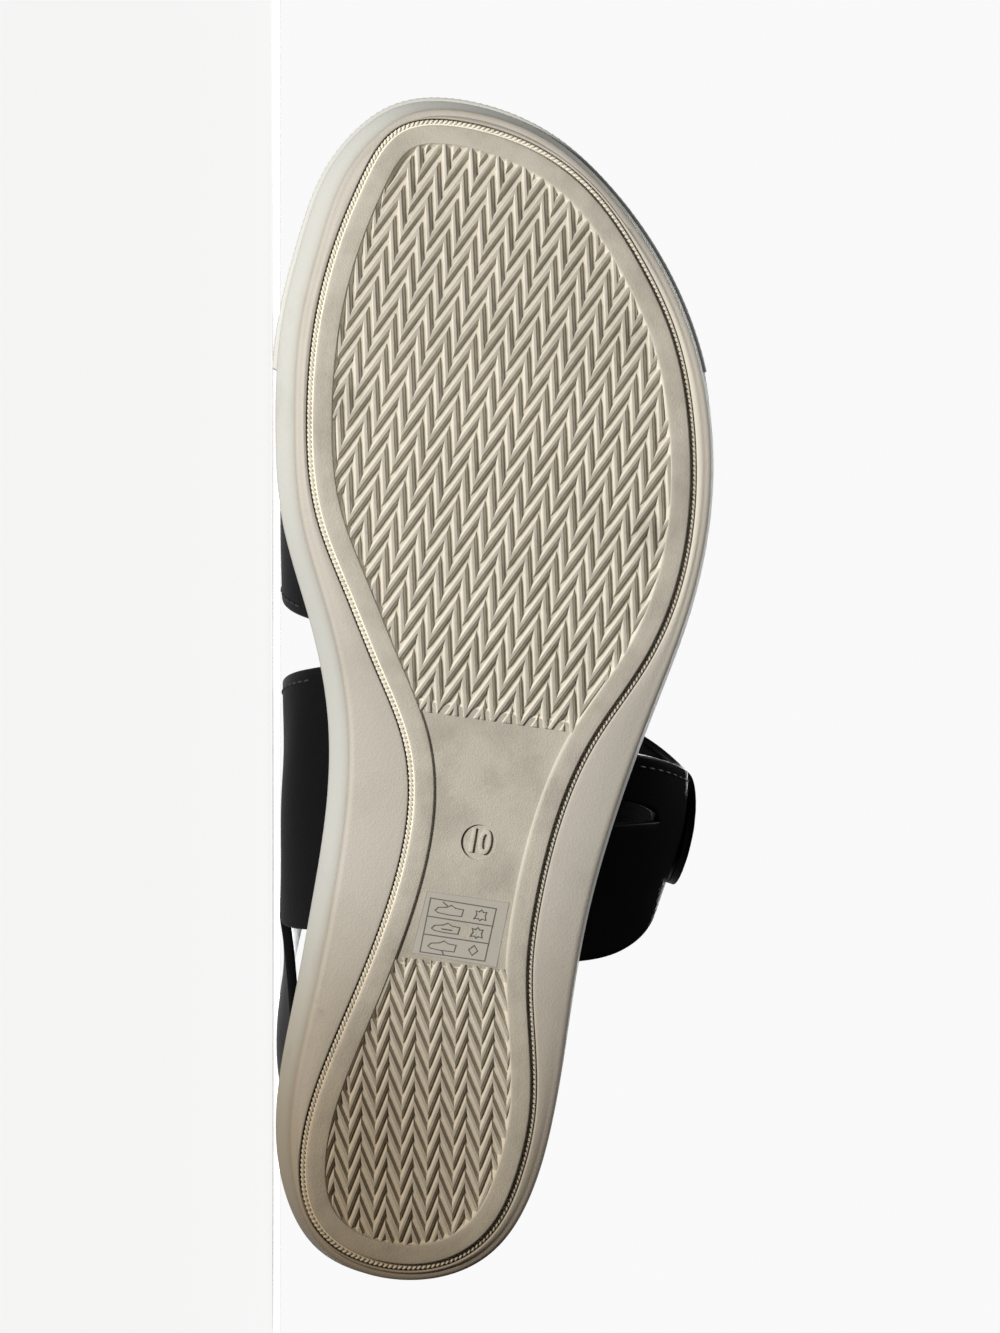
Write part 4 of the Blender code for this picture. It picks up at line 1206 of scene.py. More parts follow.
def make_tread(name, pattern, ends, towards_toe):
    """The zigzag ridges of one panel. Their ends run into the frame and stop square at the waist."""
    reach = GROOVE_WIDTH / 2 + FRAME_WIDTH - RIDGE_REACH
    polygon = INSERT.at(np.linspace(0, 1, 400, endpoint=False), reach)
    turns = [float(INSERT.turn(end, inner)) for end, inner in zip(ends, (True, False))]
    line = INSERT.at(turns, GROOVE_WIDTH / 2)
    ahead = line[1] - line[0]
    across = np.array([ahead[1], -ahead[0]]) / np.linalg.norm(ahead)
    across = across if (across[1] > 0) == towards_toe else -across

    def inside(points):
        return within(polygon, points) & ((points - line[0]) @ across > -TREAD_OVERRUN)

    rails = zigzag_rails(pattern, inside, RIDGE_RECESS)
    values = {
        "Top Width": pattern.width, "Base Width": pattern.width + 2 * size("ridge_draft"),
        "Height": TREAD_DEPTH - RIDGE_RECESS + 0.1, "Rounding": size("ridge_rounding"),
        "Material": outsole_rubber(),
    }
    mesh = grown(name, ridge_tree(), rails, values)
    work = bmesh.new()
    work.from_mesh(mesh)
    cut = bmesh.ops.bisect_plane(
        work, geom=[*work.verts, *work.edges, *work.faces], plane_co=(*line[0], 0.0),
        plane_no=(*-across, 0.0), clear_outer=True,
    )
    open_edges = [edge for edge in cut["geom_cut"] if isinstance(edge, bmesh.types.BMEdge)]
    bmesh.ops.holes_fill(work, edges=open_edges, sides=0)
    bmesh.ops.recalc_face_normals(work, faces=work.faces)
    work.to_mesh(mesh)
    work.free()
    places = corners(mesh)
    sunk = (places[:, 2] - ground(places[:, 1]) - RIDGE_RECESS) / (TREAD_DEPTH - RIDGE_RECESS)
    # Towards the floor the relief turns to the darker floor colour: partly dirt, partly painted shade
    relief = np.interp(sunk, (0.03, 0.15, 0.75, 1.0), (0.0, 0.7, 0.7, 1.0))
    return settle(mesh, name, (), relief)


def make_rope():
    """The moulded rope in the groove between border and frame."""
    turns = np.linspace(0, 1, 700, endpoint=False)
    points = insert_ring(turns, ROPE_SHIFT, GROOVE_DEPTH - ROPE_SINK)
    rail = {"points": points, "outward": np.tile([0.0, 0.0, -1.0], (len(points), 1)), "closed": True}
    lengths = (size("rope_pitch"), size("rope_turn_length"), size("rope_turn_width"), ROPE_HEIGHT)
    slant = bpy.context.scene.sandal_sizes.rope_slant
    mesh = beads("groove_rope", [rail], rope_rubber(), lengths, slant)
    return settle(mesh, "groove_rope")


def make_toe_ribs():
    """Fine slanted ribs on the toe bumper."""
    start, end = (float(SOLE.turn(BUMPER_END + RIB_MARGIN, inner)) for inner in (True, False))
    turns = np.linspace(start, end, 300)
    rail = {"points": side_ring(turns, RIB_LINE), "outward": lifted(SOLE.outward(turns), 0.0)}
    lengths = (size("rib_pitch"), size("rib_length"), size("rib_width"), RIB_HEIGHT)
    slant = bpy.context.scene.sandal_sizes.rib_slant
    mesh = beads("toe_ribs", [rail], midsole_foam(), lengths, slant)
    return settle(mesh, "toe_ribs", (), np.ones(len(mesh.vertices)))


def make_pinstripe():
    """A black line in the groove of the heel's side."""
    start, end = (float(SOLE.turn(PINSTRIPE_END, inner)) for inner in (False, True))
    turns = np.linspace(start - 1.0, end, 240)
    shell = Shell()
    rows = [shell.add(side_ring(turns, Step(height, 0.0, inset, 0.0))) for height, inset in PINSTRIPE_EDGES]
    shell.join([*rows, rows[0]])
    shell.faces.append(tuple(row[0] for row in rows))
    shell.faces.append(tuple(row[-1] for row in reversed(rows)))
    return settle(recalculated(shell.mesh("pinstripe", pinstripe_black())), "pinstripe")


def make_footbed():
    """The insole: a pad with a rounded edge, a heel cup and a raised arch."""

    def height(x, y, across, i):
        along = y / SOLE_LENGTH
        cup = HEEL_CUP * np.exp(-((along - HEEL_CUP_PLACE) / HEEL_CUP_REACH) ** 2)
        arch = ARCH_RISE * np.exp(-((along - ARCH_PLACE) / ARCH_REACH) ** 2) * (1 - across) ** 2
        hollow = cup * (1 - (2 * across - 1) ** 2)
        return rim(y) + FOOTBED_PROUD - hollow + arch * np.sin(math.pi * across)

    def edge_ring(inset, drop):
        ring = SOLE.at(turns, FOOTBED_INSET + inset)
        return lifted(ring, rim(ring[:, 1]) + FOOTBED_PROUD - drop)

    shell = Shell()
    turns = ring_turns()
    edge = SOLE.at(turns, FOOTBED_INSET)
    rings = [shell.add(lifted(edge, rim(edge[:, 1]) - SEAT_DEPTH + GAP))]
    profile = [(FOOTBED_PROUD * inset, FOOTBED_PROUD * drop) for inset, drop in rounded(6)]
    rings += [shell.add(edge_ring(inset, drop)) for inset, drop in (*profile, *FOOTBED_SEAM)]
    shell.bands(rings)
    shell.crowned(rings[0], 4, lambda x, y, across, i: rim(y) - SEAT_DEPTH + GAP, up=False)
    shell.crowned(rings[-1], 24, height)
    mesh = shell.mesh("footbed", footbed_lining())
    return settle(mesh, "footbed_skin", ["footbed"])


def last_points(along, girth):
    """Points on the last, where the middle of a strap's wall runs."""
    along, girth = np.broadcast_arrays(np.asarray(along, float), np.asarray(girth, float))
    inner = girth < 0.5
    climb = 1 - np.abs(2 * girth - 1)
    root = SOLE.at(SOLE.turn(along, inner), STRAP_INSET)
    last = {name: curve(LAST_SECTIONS, name)(along) for name in Last._fields[1:]}
    wide = np.where(inner, last["inner"], -last["outer"]) * BALL_WIDTH
    crown = last["crown"] * BALL_WIDTH
    edge = rim(root[:, 1])
    wide_height = edge + last["wide_rise"] * INSTEP_HEIGHT
    crown_height = edge + last["crown_rise"] * INSTEP_HEIGHT
    lip = edge + SLOT_LIP
    slot = edge - SLOT_DEPTH + (SLOT_DEPTH + SLOT_LIP) * climb / SLOT_SHARE
    share = (climb - SLOT_SHARE) / (SPREAD_SHARE - SLOT_SHARE)
    angle = np.clip((climb - SPREAD_SHARE) / (1 - SPREAD_SHARE), 0, 1) * math.pi / 2
    over = crown + (wide - crown) * np.maximum(0.0, np.cos(angle)) ** ROUNDNESS
    in_slot = climb <= SLOT_SHARE
    in_side = climb <= SPREAD_SHARE
    x = np.where(in_slot, root[:, 0], np.where(in_side, wide + (root[:, 0] - wide) * (1 - share) ** 2, over))
    over_height = wide_height + (crown_height - wide_height) * np.sin(angle) ** ROUNDNESS
    z = np.where(in_slot, slot, np.where(in_side, lip + (wide_height - lip) * share, over_height))
    return np.column_stack([x, root[:, 1], z])


def last_normals(along, girth):
    """Unit directions out of the last."""
    here = last_points(along, girth)
    ahead = last_points(np.asarray(along) + LAST_STEP, girth) - here
    nearer = np.clip(girth, 2 * LAST_STEP, 1 - 2 * LAST_STEP)
    onward = last_points(along, nearer + LAST_STEP) - last_points(along, nearer - LAST_STEP)
    normal = np.cross(ahead, onward)
    return normal / np.linalg.norm(normal, axis=1, keepdims=True)


class Sheet(Shell):
    """A strap's middle surface, given a wall and round edges at the end."""

    def walled(self, name, wall):
        """The leather strap, with half of its wall on each side of the sheet."""
        item = shown(name, self.mesh(name, strap_leather()))
        solid = item.modifiers.new("wall", "SOLIDIFY")
        solid.thickness = wall
        solid.offset = 0
        solid.use_even_offset = True
        edge = item.modifiers.new("edges", "BEVEL")
        edge.width = size("strap_rounding")
        edge.segments = 3
        edge.limit_method = "ANGLE"
        edge.angle_limit = SHARP_ANGLE
        return plain(item)


# Soft folds in the straps: middle along the sole and round the girth, reach along each, turn, and depth
FOLD_RIDGE = 0.4
Fold = namedtuple("Fold", "along girth length width turn depth")
VAMP_FOLDS = table(
    Fold,
    (0.700, 0.42, 0.055, 0.026, 0.3, 1.1), (0.655, 0.60, 0.050, 0.022, -0.4, 0.9),
    (0.745, 0.55, 0.045, 0.024, 0.2, 0.8), (0.640, 0.30, 0.050, 0.022, 0.5, 0.8),
    (0.720, 0.80, 0.040, 0.026, -0.2, 0.9),
)
QUARTER_FOLDS = table(
    Fold,
    (0.435, 0.42, 0.045, 0.030, 0.3, 0.8), (0.400, 0.60, 0.050, 0.026, -0.3, 0.8),
    (0.380, 0.25, 0.060, 0.026, 0.6, 1.0), (0.460, 0.16, 0.045, 0.026, -0.5, 0.7),
    (0.340, 0.84, 0.045, 0.024, 0.4, 0.8),
)


def folded(points, along, girth, folds):
    """Points moved in by the soft folds that they lie on."""
    depth = np.zeros(len(points))
    for fold in folds:
        across = np.asarray(along) - fold.along
        round_last = (np.asarray(girth) - fold.girth) * 0.6
        long_way = across * math.cos(fold.turn) + round_last * math.sin(fold.turn)
        short_way = round_last * math.cos(fold.turn) - across * math.sin(fold.turn)
        reach = (long_way / fold.length) ** 2
        hollow = np.exp(-reach - (short_way / fold.width) ** 2)
        ridge = np.exp(-reach - (short_way / fold.width - 2) ** 2)
        depth += fold.depth * (hollow - FOLD_RIDGE * ridge)
    rooted = smoothstep(1 - np.abs(2 * np.asarray(girth) - 1), SLOT_SHARE, SPREAD_SHARE)
    return points - last_normals(along, girth) * (depth * rooted)[:, None]


def make_vamp():
    """The wide band over the toes' joints."""
    sheet = Sheet()
    rows = []
    for girth in np.linspace(0, 1, GIRTH_ROWS + 1):
        ends = curve(VAMP_STRAP, "rear")(girth), curve(VAMP_STRAP, "front")(girth)
        along = np.linspace(*ends, STRAP_COLUMNS + 8)
        girths = np.full(len(along), girth)
        rows.append(sheet.add(folded(last_points(along, girths), along, girths, VAMP_FOLDS)))
    sheet.join(rows)
    mesh = sheet.walled("vamp", STRAP_WALL)
    return settle(mesh, "vamp_skin", ["vamp_strap"])


def heel_columns(inner_edge, outer_edge):
    """Columns of the heel strap between the rear edges of the two quarters."""
    sides = np.array(column(HEEL_LOOP, "side")) * BALL_WIDTH
    places = np.array(column(HEEL_LOOP, "along")) * SOLE_LENGTH
    heights = rim(places) + np.array(column(HEEL_LOOP, "rise")) * INSTEP_HEIGHT
    route = np.column_stack([sides, places, heights])
    route = np.vstack([inner_edge.mean(axis=0), route, outer_edge.mean(axis=0)])
    reach = np.concatenate([[0], np.cumsum(np.linalg.norm(np.diff(route, axis=0), axis=1))])
    at = np.linspace(0, reach[-1], HEEL_STRAP_COLUMNS + 1)
    middle = np.column_stack([Smooth(reach, route[:, axis])(at) for axis in range(3)])
    across = np.linspace(-0.5, 0.5, len(inner_edge))[:, None] * HEEL_STRAP_HEIGHT
    columns = []
    for i in range(1, HEEL_STRAP_COLUMNS):
        ahead = middle[i + 1] - middle[i - 1]
        inward = np.array([ahead[1], -ahead[0], 0.0])
        inward /= -np.linalg.norm(inward)
        up = math.cos(HEEL_STRAP_LEAN) * np.array([0, 0, 1.0]) + math.sin(HEEL_STRAP_LEAN) * inward
        up -= ahead * (up @ ahead) / (ahead @ ahead)
        straight = middle[i] + across * up / np.linalg.norm(up)
        share = at[i] / at[-1]
        near_inner = max(0.0, 1 - share / HEEL_STRAP_EASE) ** 2
        near_outer = max(0.0, 1 - (1 - share) / HEEL_STRAP_EASE) ** 2
        to_inner = near_inner * (inner_edge - inner_edge.mean(axis=0) - (straight - middle[i]))
        to_outer = near_outer * (outer_edge - outer_edge.mean(axis=0) - (straight - middle[i]))
        columns.append(straight + to_inner + to_outer)
    return columns


def make_quarter():
    """The rear upper in one: inner quarter, instep strap, outer quarter on two legs, and heel strap."""
    sheet = Sheet()
    girths = np.round(np.linspace(0, 1, GIRTH_ROWS + 1), 4)
    back_numbers = []
    front_numbers = []
    for girth in girths:
        open_share = math.sqrt(max(0.0, (girth - LEG_GAP_APEX) / (1 - LEG_GAP_APEX)))
        names = ("rear", "split", "front")
        rear, split, front = (float(curve(QUARTER_STRAP, name)(girth)) for name in names)
        back_part = np.linspace(rear, split, STRAP_COLUMNS)
        front_part = np.linspace(split + LEG_GAP_WIDTH * open_share, front, STRAP_COLUMNS // 2)
        back, ahead = (folded(last_points(part, girth), part, np.full(len(part), girth), QUARTER_FOLDS)
                       for part in (back_part, front_part))
        back_numbers.append(sheet.add(back))
        if open_share > 0:
            front_numbers.append(sheet.add(ahead))
        else:
            front_numbers.append([back_numbers[-1][-1], *sheet.add(ahead[1:])])
    sheet.join(back_numbers)
    sheet.join(front_numbers)
    places = np.vstack(sheet.points)
    edges = []
    for low, high in (INNER_JOIN, OUTER_JOIN):
        rows = range(round(low * GIRTH_ROWS), round(high * GIRTH_ROWS) + 1)
        edges.append([back_numbers[i][0] for i in rows])
    inner_edge, outer_edge = edges[0], edges[1][::-1]
    loop = [sheet.add(points) for points in heel_columns(places[inner_edge], places[outer_edge])]
    sheet.join([inner_edge, *loop, outer_edge])
    mesh = sheet.walled("quarter", STRAP_WALL)
    return settle(mesh, "quarter_skin", ["quarter_straps"])


def make_tab():
    """The strap's free end on the outer quarter, with its round tip down."""
    sheet = Sheet()
    rows = []
    clear = STRAP_WALL / 2 + TAB_CLEARANCE + TAB_WALL / 2
    for girth in np.linspace(*TAB_GIRTHS, 40):
        rear = curve(QUARTER_STRAP, "rear")(girth) + TAB_MARGIN
        front = curve(QUARTER_STRAP, "front")(girth) - TAB_MARGIN
        past = TAB_ROUND_SHARE * max(0.0, girth - TAB_ROUND_FROM) / (TAB_GIRTHS[-1] - TAB_ROUND_FROM)
        narrowing = (front - rear) / 2 * (1 - math.sqrt(1 - past**2))
        along = np.linspace(rear + narrowing, front - narrowing, STRAP_COLUMNS)
        girths = np.full(len(along), girth)
        rows.append(sheet.add(last_points(along, girths) + clear * last_normals(along, girths)))
    sheet.join(rows)
    mesh = sheet.walled("closure_tab", TAB_WALL)
    return settle(mesh, "closure_tab_skin", ["closure_tab"])


def edge_rail(table, name, margin, low, high, out):
    """A rail for stitches, in from a strap's edge and on the outside of its wall."""
    girths = np.linspace(low, high, 120)
    along = curve(table, name)(girths) + margin / SOLE_LENGTH
    normals = last_normals(along, girths)
    folds = VAMP_FOLDS if table is VAMP_STRAP else QUARTER_FOLDS
    points = folded(last_points(along, girths), along, girths, folds)
    return {"points": points + normals * out, "outward": normals}


def make_stitches():
    """Black stitches along the straps' edges."""
    margin = size("stitch_margin")
    out = STRAP_WALL / 2 + 0.05
    rails = [
        edge_rail(VAMP_STRAP, "rear", margin, 0.08, 0.92, out),
        edge_rail(VAMP_STRAP, "front", -margin, 0.08, 0.92, out),
        edge_rail(QUARTER_STRAP, "front", -margin, 0.08, 0.58, out),
        edge_rail(QUARTER_STRAP, "rear", margin, 0.33, 0.58, out),
        edge_rail(QUARTER_STRAP, "front", -margin, 0.83, 0.94, out),
    ]
    lengths = (size("stitch_pitch"), size("stitch_length"), STITCH_WIDTH, STITCH_HEIGHT)
    return settle(beads("strap_stitches", rails, thread_black(), lengths), "strap_stitches")


def make_size_mark():
    """The raised number in its round recess."""
    letters = bpy.data.curves.new("size_number", "FONT")
    letters.body = bpy.context.scene.sandal_sizes.size_number
    letters.align_x = "CENTER"
    letters.align_y = "CENTER"
    letters.size = NUMBER_HEIGHT
    letters.offset = NUMBER_BOLDNESS
    letters.extrude = NUMBER_RISE
    letters.bevel_depth = NUMBER_BEVEL
    letters.bevel_resolution = 2
    mesh = plain(shown("size_number", letters))
    middle = mark_middle(WAIST_DEPTH + SIZE_DISC_DEPTH - NUMBER_SINK)
    facing = Matrix.Rotation(math.pi, 4, "Y") @ Matrix.Rotation(NUMBER_TURN, 4, "Z")
    mesh.transform(Matrix.Translation(middle) @ facing @ Matrix.Diagonal((NUMBER_NARROWING, 1.0, 1.0, 1.0)))
    mesh.materials.clear()
    mesh.materials.append(outsole_rubber())
    recalculated(mesh)
    relief = np.full(len(mesh.vertices), NUMBER_RELIEF)
    return settle(mesh, "size_number", (), relief)


# The label in the waist: its corners, in millimetres, and its thin frame, from the toe's inner corner round
LABEL_CORNERS = (Point(8.2, 92.4), Point(-11.1, 89.8), Point(-8.2, 74.6), Point(11.8, 77.9))
LABEL_FRAME = (Point(7.3, 90.7), Point(-8.0, 88.3), Point(-5.4, 76.1), Point(9.7, 78.2))

# Outlines in the label's three rows: share of the frame's width and of the row's height
SHOE = (
    (0.10, 0.62), (0.14, 0.44), (0.26, 0.36), (0.33, 0.22), (0.40, 0.34), (0.52, 0.36),
    (0.51, 0.74), (0.30, 0.76), (0.15, 0.72),
)
DIAMOND = ((0.72, 0.50), (0.79, 0.22), (0.86, 0.50), (0.79, 0.78))
HIDE = (
    (0.71, 0.30), (0.76, 0.32), (0.79, 0.20), (0.82, 0.32), (0.87, 0.30), (0.86, 0.50),
    (0.88, 0.74), (0.82, 0.70), (0.79, 0.80), (0.76, 0.70), (0.70, 0.74), (0.73, 0.50),
)
SHOE_LINES = (((0.20, 0.12), (0.27, 0.28)), ((0.26, 0.58), (0.40, 0.58)), ((0.33, 0.80), (0.36, 0.96)))


def make_label():
    """A faint film with a printed table of plain outlines."""
    shell = Shell()
    relief = []

    def place(points, above):
        points = np.asarray(points, float)
        return lifted(points, ground(points[:, 1]) + WAIST_DEPTH - above)

    def plate(points, above, printed):
        low = shell.add(place(points, -LABEL_SINK))
        high = shell.add(place(points, above))
        relief.extend([printed] * 2 * len(points))
        shell.bands([low, high])
        shell.faces.append(tuple(high))
        shell.faces.append(tuple(reversed(low)))

    def stroke(start, end, width=LINE_WIDTH, printed=1.0):
        start, end = np.array(start), np.array(end)
        ahead = (end - start) / np.linalg.norm(end - start)
        side = np.array([-ahead[1], ahead[0]]) * width / 2
        start, end = start - ahead * width / 2, end + ahead * width / 2
        plate([start - side, end - side, end + side, start + side], LINE_HEIGHT, printed)

    def closed(points, width=LINE_WIDTH, printed=1.0):
        for first, second in zip(points, [*points[1:], points[0]]):
            stroke(first, second, width, printed)

    plate(LABEL_CORNERS, FILM_HEIGHT, 0.0)
    middle = np.mean(LABEL_CORNERS, axis=0)
    closed([middle + (np.array(point) - middle) * 0.985 for point in LABEL_CORNERS], 0.12, 0.35)
    frame_corners = [np.array(point) for point in LABEL_FRAME]
    closed(frame_corners)
    top_inner, top_outer, low_outer, low_inner = frame_corners

    def cell(row, point):
        across, down = point[0], (row + point[1]) / 3
        inner = top_inner + (low_inner - top_inner) * down
        outer = top_outer + (low_outer - top_outer) * down
        return inner + (outer - inner) * across

    for row in (1, 2):
        stroke(cell(row, (0.0, 0.0)), cell(row, (1.0, 0.0)))
    for row, outline in enumerate((HIDE, HIDE, DIAMOND)):
        closed([cell(row, point) for point in SHOE], 0.22)
        closed([cell(row, point) for point in outline], 0.22)
    for row, ends in enumerate(SHOE_LINES):
        stroke(*(cell(row, point) for point in ends), 0.30)
    mesh = recalculated(shell.mesh("label", label_film()))
    write(mesh, "relief", np.array(relief)[: len(mesh.vertices)])
    return settle(mesh, "waist_label")


def look_at(place, target, up):
    """The matrix of a camera or lamp at a place, facing a target."""
    back = (Vector(place) - Vector(target)).normalized()
    right = Vector(up).cross(back).normalized()
    above = back.cross(right)
    turned = Matrix((right, above, back)).transposed().to_4x4()
    return Matrix.Translation(place) @ turned


def placed(name, data, matrix):
    """A light or a camera where its matrix puts it."""
    item = shown(name, data)
    item.matrix_world = matrix
    return item


def make_stage():
    """The pale floor, the lights and the camera of the photo."""
    scene = bpy.context.scene
    stage = scene.sandal_stage
    low, high = CAD_BOUNDS
    middle = (Vector(low) + Vector(high)) / 2
    reach = stage.floor_size / 2
    mesh = bpy.data.meshes.new("floor")
    corner_places = [(-reach, -reach, 0), (reach, -reach, 0), (reach, reach, 0), (-reach, reach, 0)]
    mesh.from_pydata(corner_places, [], [(0, 1, 2, 3)])
    mesh.materials.append(pale_floor())
    floor = shown("floor", mesh)
    floor.visible_shadow = False
    floor.visible_diffuse = False
    camera = bpy.data.cameras.new("camera")
    camera.sensor_fit = "VERTICAL"
    camera.sensor_height = SENSOR_HEIGHT
    camera.clip_start = 0.01
    place = Vector((middle.x - CAMERA_TO_TOE, -CAMERA_DISTANCE, CAMERA_HEIGHT))
    target = Vector((place.x, low[1], middle.z))
    camera.lens = SENSOR_HEIGHT * (target - place).length / (IMAGE_HEIGHT * PIXEL)
    scene.camera = placed("camera", camera, look_at(place, target, (-1, 0, 0)))
    for lamp in LAMPS:
        light = bpy.data.lights.new(lamp.name, "AREA")
        light.size = lamp.side
        light.energy = getattr(stage, lamp.setting)
        light.color = lamp.colour
        placed(lamp.name, light, look_at(lamp.place, lamp.aim, (0, 0, 1)))
    top = bpy.data.lights.new("top", "SUN")
    top.energy = stage.top_strength
    top.angle = TOP_ANGLE
    placed("top", top, look_at(TOP_PLACE, (0, 0, 0), (0, 1, 0)))
    world = bpy.data.worlds.new("studio")
    world.use_nodes = True
    sky = Tree(world.node_tree)
    strength = sky.node(
        "ShaderNodeMapRange", Value=sky.node("ShaderNodeLightPath").outputs["Is Camera Ray"],
        To_Min=stage.ambient_strength, To_Max=stage.background_strength,
    )
    backdrop = world.node_tree.nodes["Background"]
    sky.plug(backdrop, "Color", rgba(stage.background))
    sky.plug(backdrop, "Strength", strength.outputs["Result"])
    scene.world = world
    scene.view_settings.view_transform = "Standard"


def colour_property(name, description, value):
    """A colour that a user can change."""
    return bpy.props.FloatVectorProperty(
        name=name, description=description, subtype="COLOR", size=3, min=0, max=1, default=value,
    )


def length_property(name, description, value):
    """A length that a user can change, in metres."""
    return bpy.props.FloatProperty(
        name=name, description=description, default=value, min=0, unit="LENGTH", precision=5,
    )


def angle_property(name, description, value):
    """An angle that a user can change, in radians."""
    return bpy.props.FloatProperty(
        name=name, description=description, default=value, subtype="ANGLE", unit="ROTATION",
    )


def light_property(name, description, value, unit="NONE"):
    """A brightness, or a power in watts, that a user can change."""
    return bpy.props.FloatProperty(name=name, description=description, default=value, min=0, unit=unit)


class SandalSizes(bpy.types.PropertyGroup):
    """Sizes of the fine details."""

    edge_rounding: length_property("Edge rounding", "Radius of the insert's and the border's edges", 0.00035)
    border_bow: length_property("Border bow", "How far the border bows down between its edges", 0.00015)
    frame_draft: length_property("Frame draft", "How far the frame's inner wall slopes inwards", 0.00072)
    ridge_draft: length_property("Ridge draft", "Extra width of a ridge's base, on each side", 0.00072)
    ridge_rounding: length_property("Ridge rounding", "Radius of a ridge's top edges", 0.0002)
    rope_pitch: length_property("Rope pitch", "Distance between the turns of the rope", 0.00112)
    rope_turn_length: length_property("Rope turn length", "Length of one turn of the rope", 0.00145)
    rope_turn_width: length_property("Rope turn width", "Thickness of one turn of the rope", 0.00075)
    rope_slant: angle_property("Rope slant", "Slant of the turns to the groove", math.radians(38))
    rib_pitch: length_property("Rib pitch", "Distance between the ribs of the toe bumper", 0.0017)
    rib_length: length_property("Rib length", "Length of a rib", 0.0062)
    rib_width: length_property("Rib width", "Thickness of a rib", 0.0008)
    rib_slant: angle_property("Rib slant", "Slant of the ribs to the bumper", math.radians(62))
    strap_rounding: length_property("Strap rounding", "Radius of the straps' edges", 0.0009)
    stitch_margin: length_property("Stitch margin", "Distance of the stitches from a strap's edge", 0.0026)
    stitch_pitch: length_property("Stitch pitch", "Distance between stitches", 0.0031)
    stitch_length: length_property("Stitch length", "Length of a stitch", 0.0024)
    size_number: bpy.props.StringProperty(
        name="Size number", description="Number in the round mark", default="10",
    )


class SandalColours(bpy.types.PropertyGroup):
    """Colours of the finishes."""

    worn_rubber: colour_property("Worn rubber", "Frame and ridge tops", (0.41, 0.378, 0.318))
    clean_rubber: colour_property("Clean rubber", "Walls of the recesses", (0.66, 0.622, 0.535))
    # Partly dirt, partly painted shade on the floors of the recesses
    floor_rubber: colour_property("Floor rubber", "Floors of the recesses", (0.50, 0.462, 0.39))
    rubber_soil: colour_property("Rubber soil", "Soil on the worn rubber", (0.27, 0.245, 0.20))
    # The tint of the painted shade at the heel
    heel_tint: colour_property("Heel tint", "Tint of the browner heel", (0.66, 0.60, 0.52))
    foam: colour_property("Foam", "Border of the wedge", (0.41, 0.379, 0.330))
    foam_soil: colour_property("Foam soil", "Smudges on the border", (0.34, 0.31, 0.258))
    scuff: colour_property("Scuff", "Grey scuffs on the border", (0.26, 0.25, 0.23))
    foam_side: colour_property("Foam side", "Sides of the wedge", (0.50, 0.50, 0.465))
    rope: colour_property("Rope", "Rope in the groove", (0.66, 0.615, 0.52))
    leather: colour_property("Leather", "Straps", (0.0035, 0.0035, 0.004))
    leather_dust: colour_property("Leather dust", "Dust on the straps", (0.008, 0.008, 0.009))
    thread: colour_property("Thread", "Stitches", (0.014, 0.014, 0.016))
    lining: colour_property("Lining", "Footbed", (0.012, 0.012, 0.013))
    lining_worn: colour_property("Worn lining", "Rubbed footbed", (0.035, 0.034, 0.034))
    label: colour_property("Label", "Film of the label", (0.375, 0.350, 0.305))
    label_print: colour_property("Label print", "Print on the label", (0.10, 0.10, 0.09))


class SandalStage(bpy.types.PropertyGroup):
    """Floor, lights and background."""

    floor_size: length_property("Floor size", "Side of the floor", 4.0)
    floor_colour: colour_property("Floor colour", "Plain pale floor", (0.93, 0.93, 0.925))
    background: colour_property("Background", "Plain background", (1.0, 1.0, 1.0))
    background_strength: light_property("Background strength", "Brightness of the background", 0.95)
    floor_glow: light_property("Floor glow", "Light that the pale floor adds of itself", 0.42)
    ambient_strength: light_property("Ambient strength", "Light from all around", 0.016)
    key_power: light_property("Key power", "Power of the main light, in watts", 15.3, "POWER")
    fill_power: light_property("Fill power", "Power of the front light, in watts", 0.22, "POWER")
    back_power: light_property("Back power", "Power of the light behind the sole, in watts", 12.0, "POWER")
    top_strength: light_property("Top strength", "Strength of the overhead light", 1.8)


class SANDAL_OT_outsole(bpy.types.Operator):
    """Builds the rubber insert and its size number"""

    bl_idname = "sandal.outsole"
    bl_label = "Outsole"

    def execute(self, context):
        make_outsole()
        make_size_mark()
        return {"FINISHED"}


class SANDAL_OT_tread(bpy.types.Operator):
    """Builds the zigzag ridges of the forefoot and the heel"""

    bl_idname = "sandal.tread"
    bl_label = "Tread"

    def execute(self, context):
        make_tread("fore_tread", FORE_ZIGZAG, FORE_PANEL, True)
        make_tread("heel_tread", HEEL_ZIGZAG, HEEL_PANEL, False)
        return {"FINISHED"}


class SANDAL_OT_midsole(bpy.types.Operator):
    """Builds the wedge with its rope, toe ribs and pinstripe"""

    bl_idname = "sandal.midsole"
    bl_label = "Midsole"

    def execute(self, context):
        make_midsole()
        make_rope()
        make_toe_ribs()
        make_pinstripe()
        return {"FINISHED"}


class SANDAL_OT_footbed(bpy.types.Operator):
    """Builds the insole"""

    bl_idname = "sandal.footbed"
    bl_label = "Footbed"

    def execute(self, context):
        make_footbed()
        return {"FINISHED"}


class SANDAL_OT_straps(bpy.types.Operator):
    """Builds the straps, the closure tab and their stitches"""

    bl_idname = "sandal.straps"
    bl_label = "Straps"

    def execute(self, context):
        make_vamp()
        make_quarter()
        make_tab()
        make_stitches()
        return {"FINISHED"}


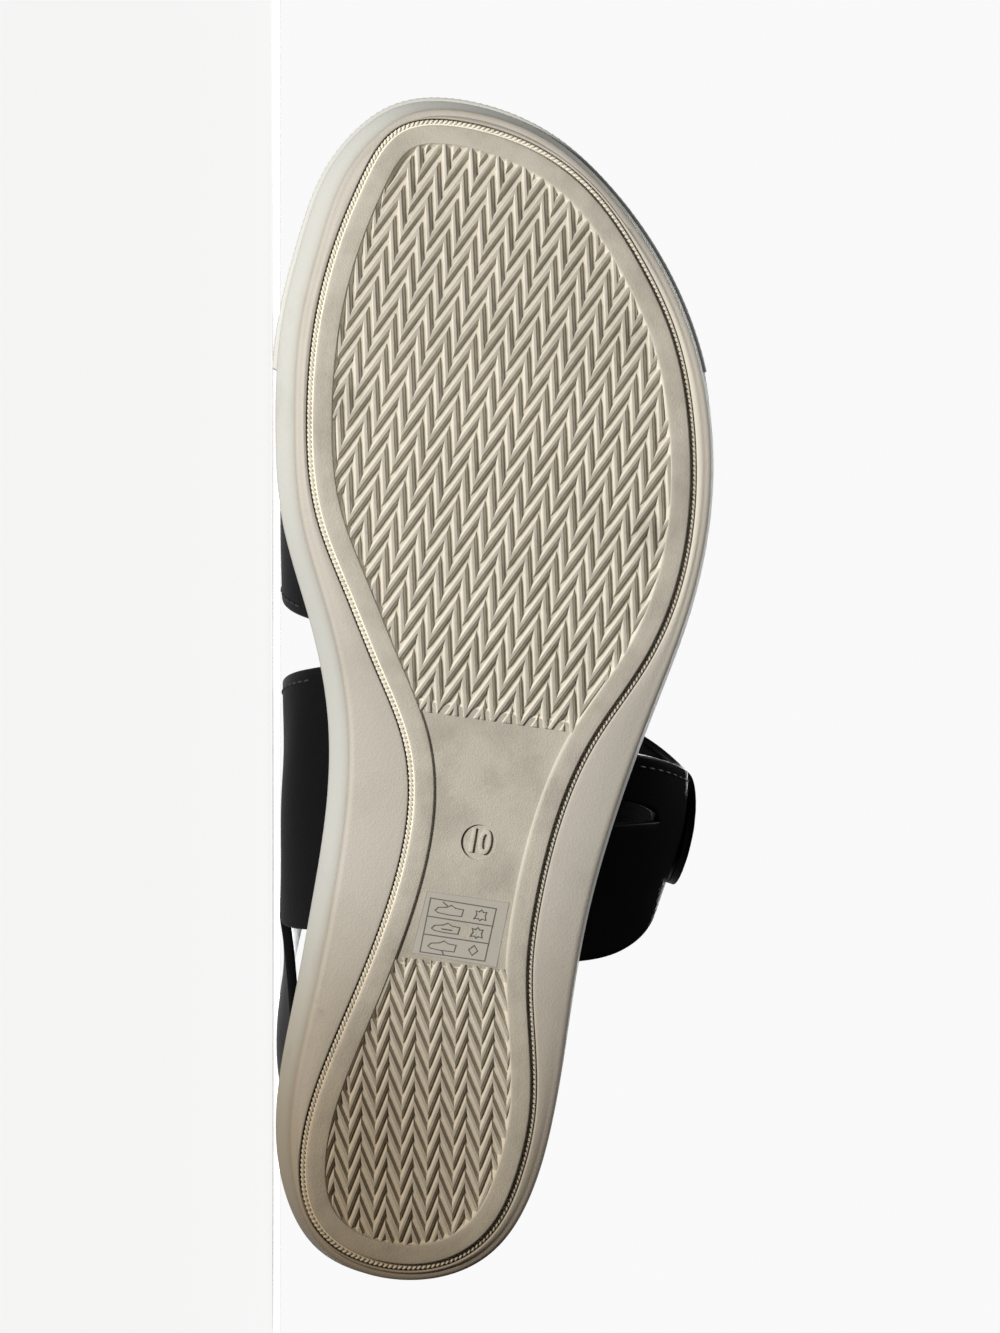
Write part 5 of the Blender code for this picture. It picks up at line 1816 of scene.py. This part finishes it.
class SANDAL_OT_label(bpy.types.Operator):
    """Builds the faint label in the waist"""

    bl_idname = "sandal.label"
    bl_label = "Label"

    def execute(self, context):
        make_label()
        return {"FINISHED"}


class SANDAL_OT_stage(bpy.types.Operator):
    """Builds the floor, the lights and the camera"""

    bl_idname = "sandal.stage"
    bl_label = "Stage"

    def execute(self, context):
        make_stage()
        return {"FINISHED"}


OPERATORS = (
    SANDAL_OT_stage,
    SANDAL_OT_outsole,
    SANDAL_OT_tread,
    SANDAL_OT_midsole,
    SANDAL_OT_footbed,
    SANDAL_OT_straps,
    SANDAL_OT_label,
)


class SANDAL_PT_panel(bpy.types.Panel):
    """Lists the sandal's pieces and sizes"""

    bl_idname = "SANDAL_PT_panel"
    bl_label = "Sandal"
    bl_space_type = "VIEW_3D"
    bl_region_type = "UI"
    bl_category = "Sandal"

    def draw(self, context):
        for group in ("sandal_sizes", "sandal_colours", "sandal_stage"):
            box = self.layout.box()
            settings = getattr(context.scene, group)
            for name in settings.__annotations__:
                box.prop(settings, name)
        for operator in OPERATORS:
            self.layout.operator(operator.bl_idname)


CLASSES = (SandalSizes, SandalColours, SandalStage, *OPERATORS, SANDAL_PT_panel)


def register():
    """Registers the classes and the scene's settings."""
    for item in CLASSES:
        bpy.utils.register_class(item)
    bpy.types.Scene.sandal_sizes = bpy.props.PointerProperty(type=SandalSizes)
    bpy.types.Scene.sandal_colours = bpy.props.PointerProperty(type=SandalColours)
    bpy.types.Scene.sandal_stage = bpy.props.PointerProperty(type=SandalStage)


def unregister():
    """Removes the scene's settings and the classes."""
    del bpy.types.Scene.sandal_stage
    del bpy.types.Scene.sandal_colours
    del bpy.types.Scene.sandal_sizes
    for item in reversed(CLASSES):
        bpy.utils.unregister_class(item)


TO_WORLD = resting_matrix()


def main():
    """Builds the whole scene."""
    register()
    bpy.ops.sandal.stage()
    bpy.ops.sandal.outsole()
    bpy.ops.sandal.tread()
    bpy.ops.sandal.midsole()
    bpy.ops.sandal.footbed()
    bpy.ops.sandal.straps()
    bpy.ops.sandal.label()
    bpy.context.view_layer.update()


if __name__ == "__main__":
    main()
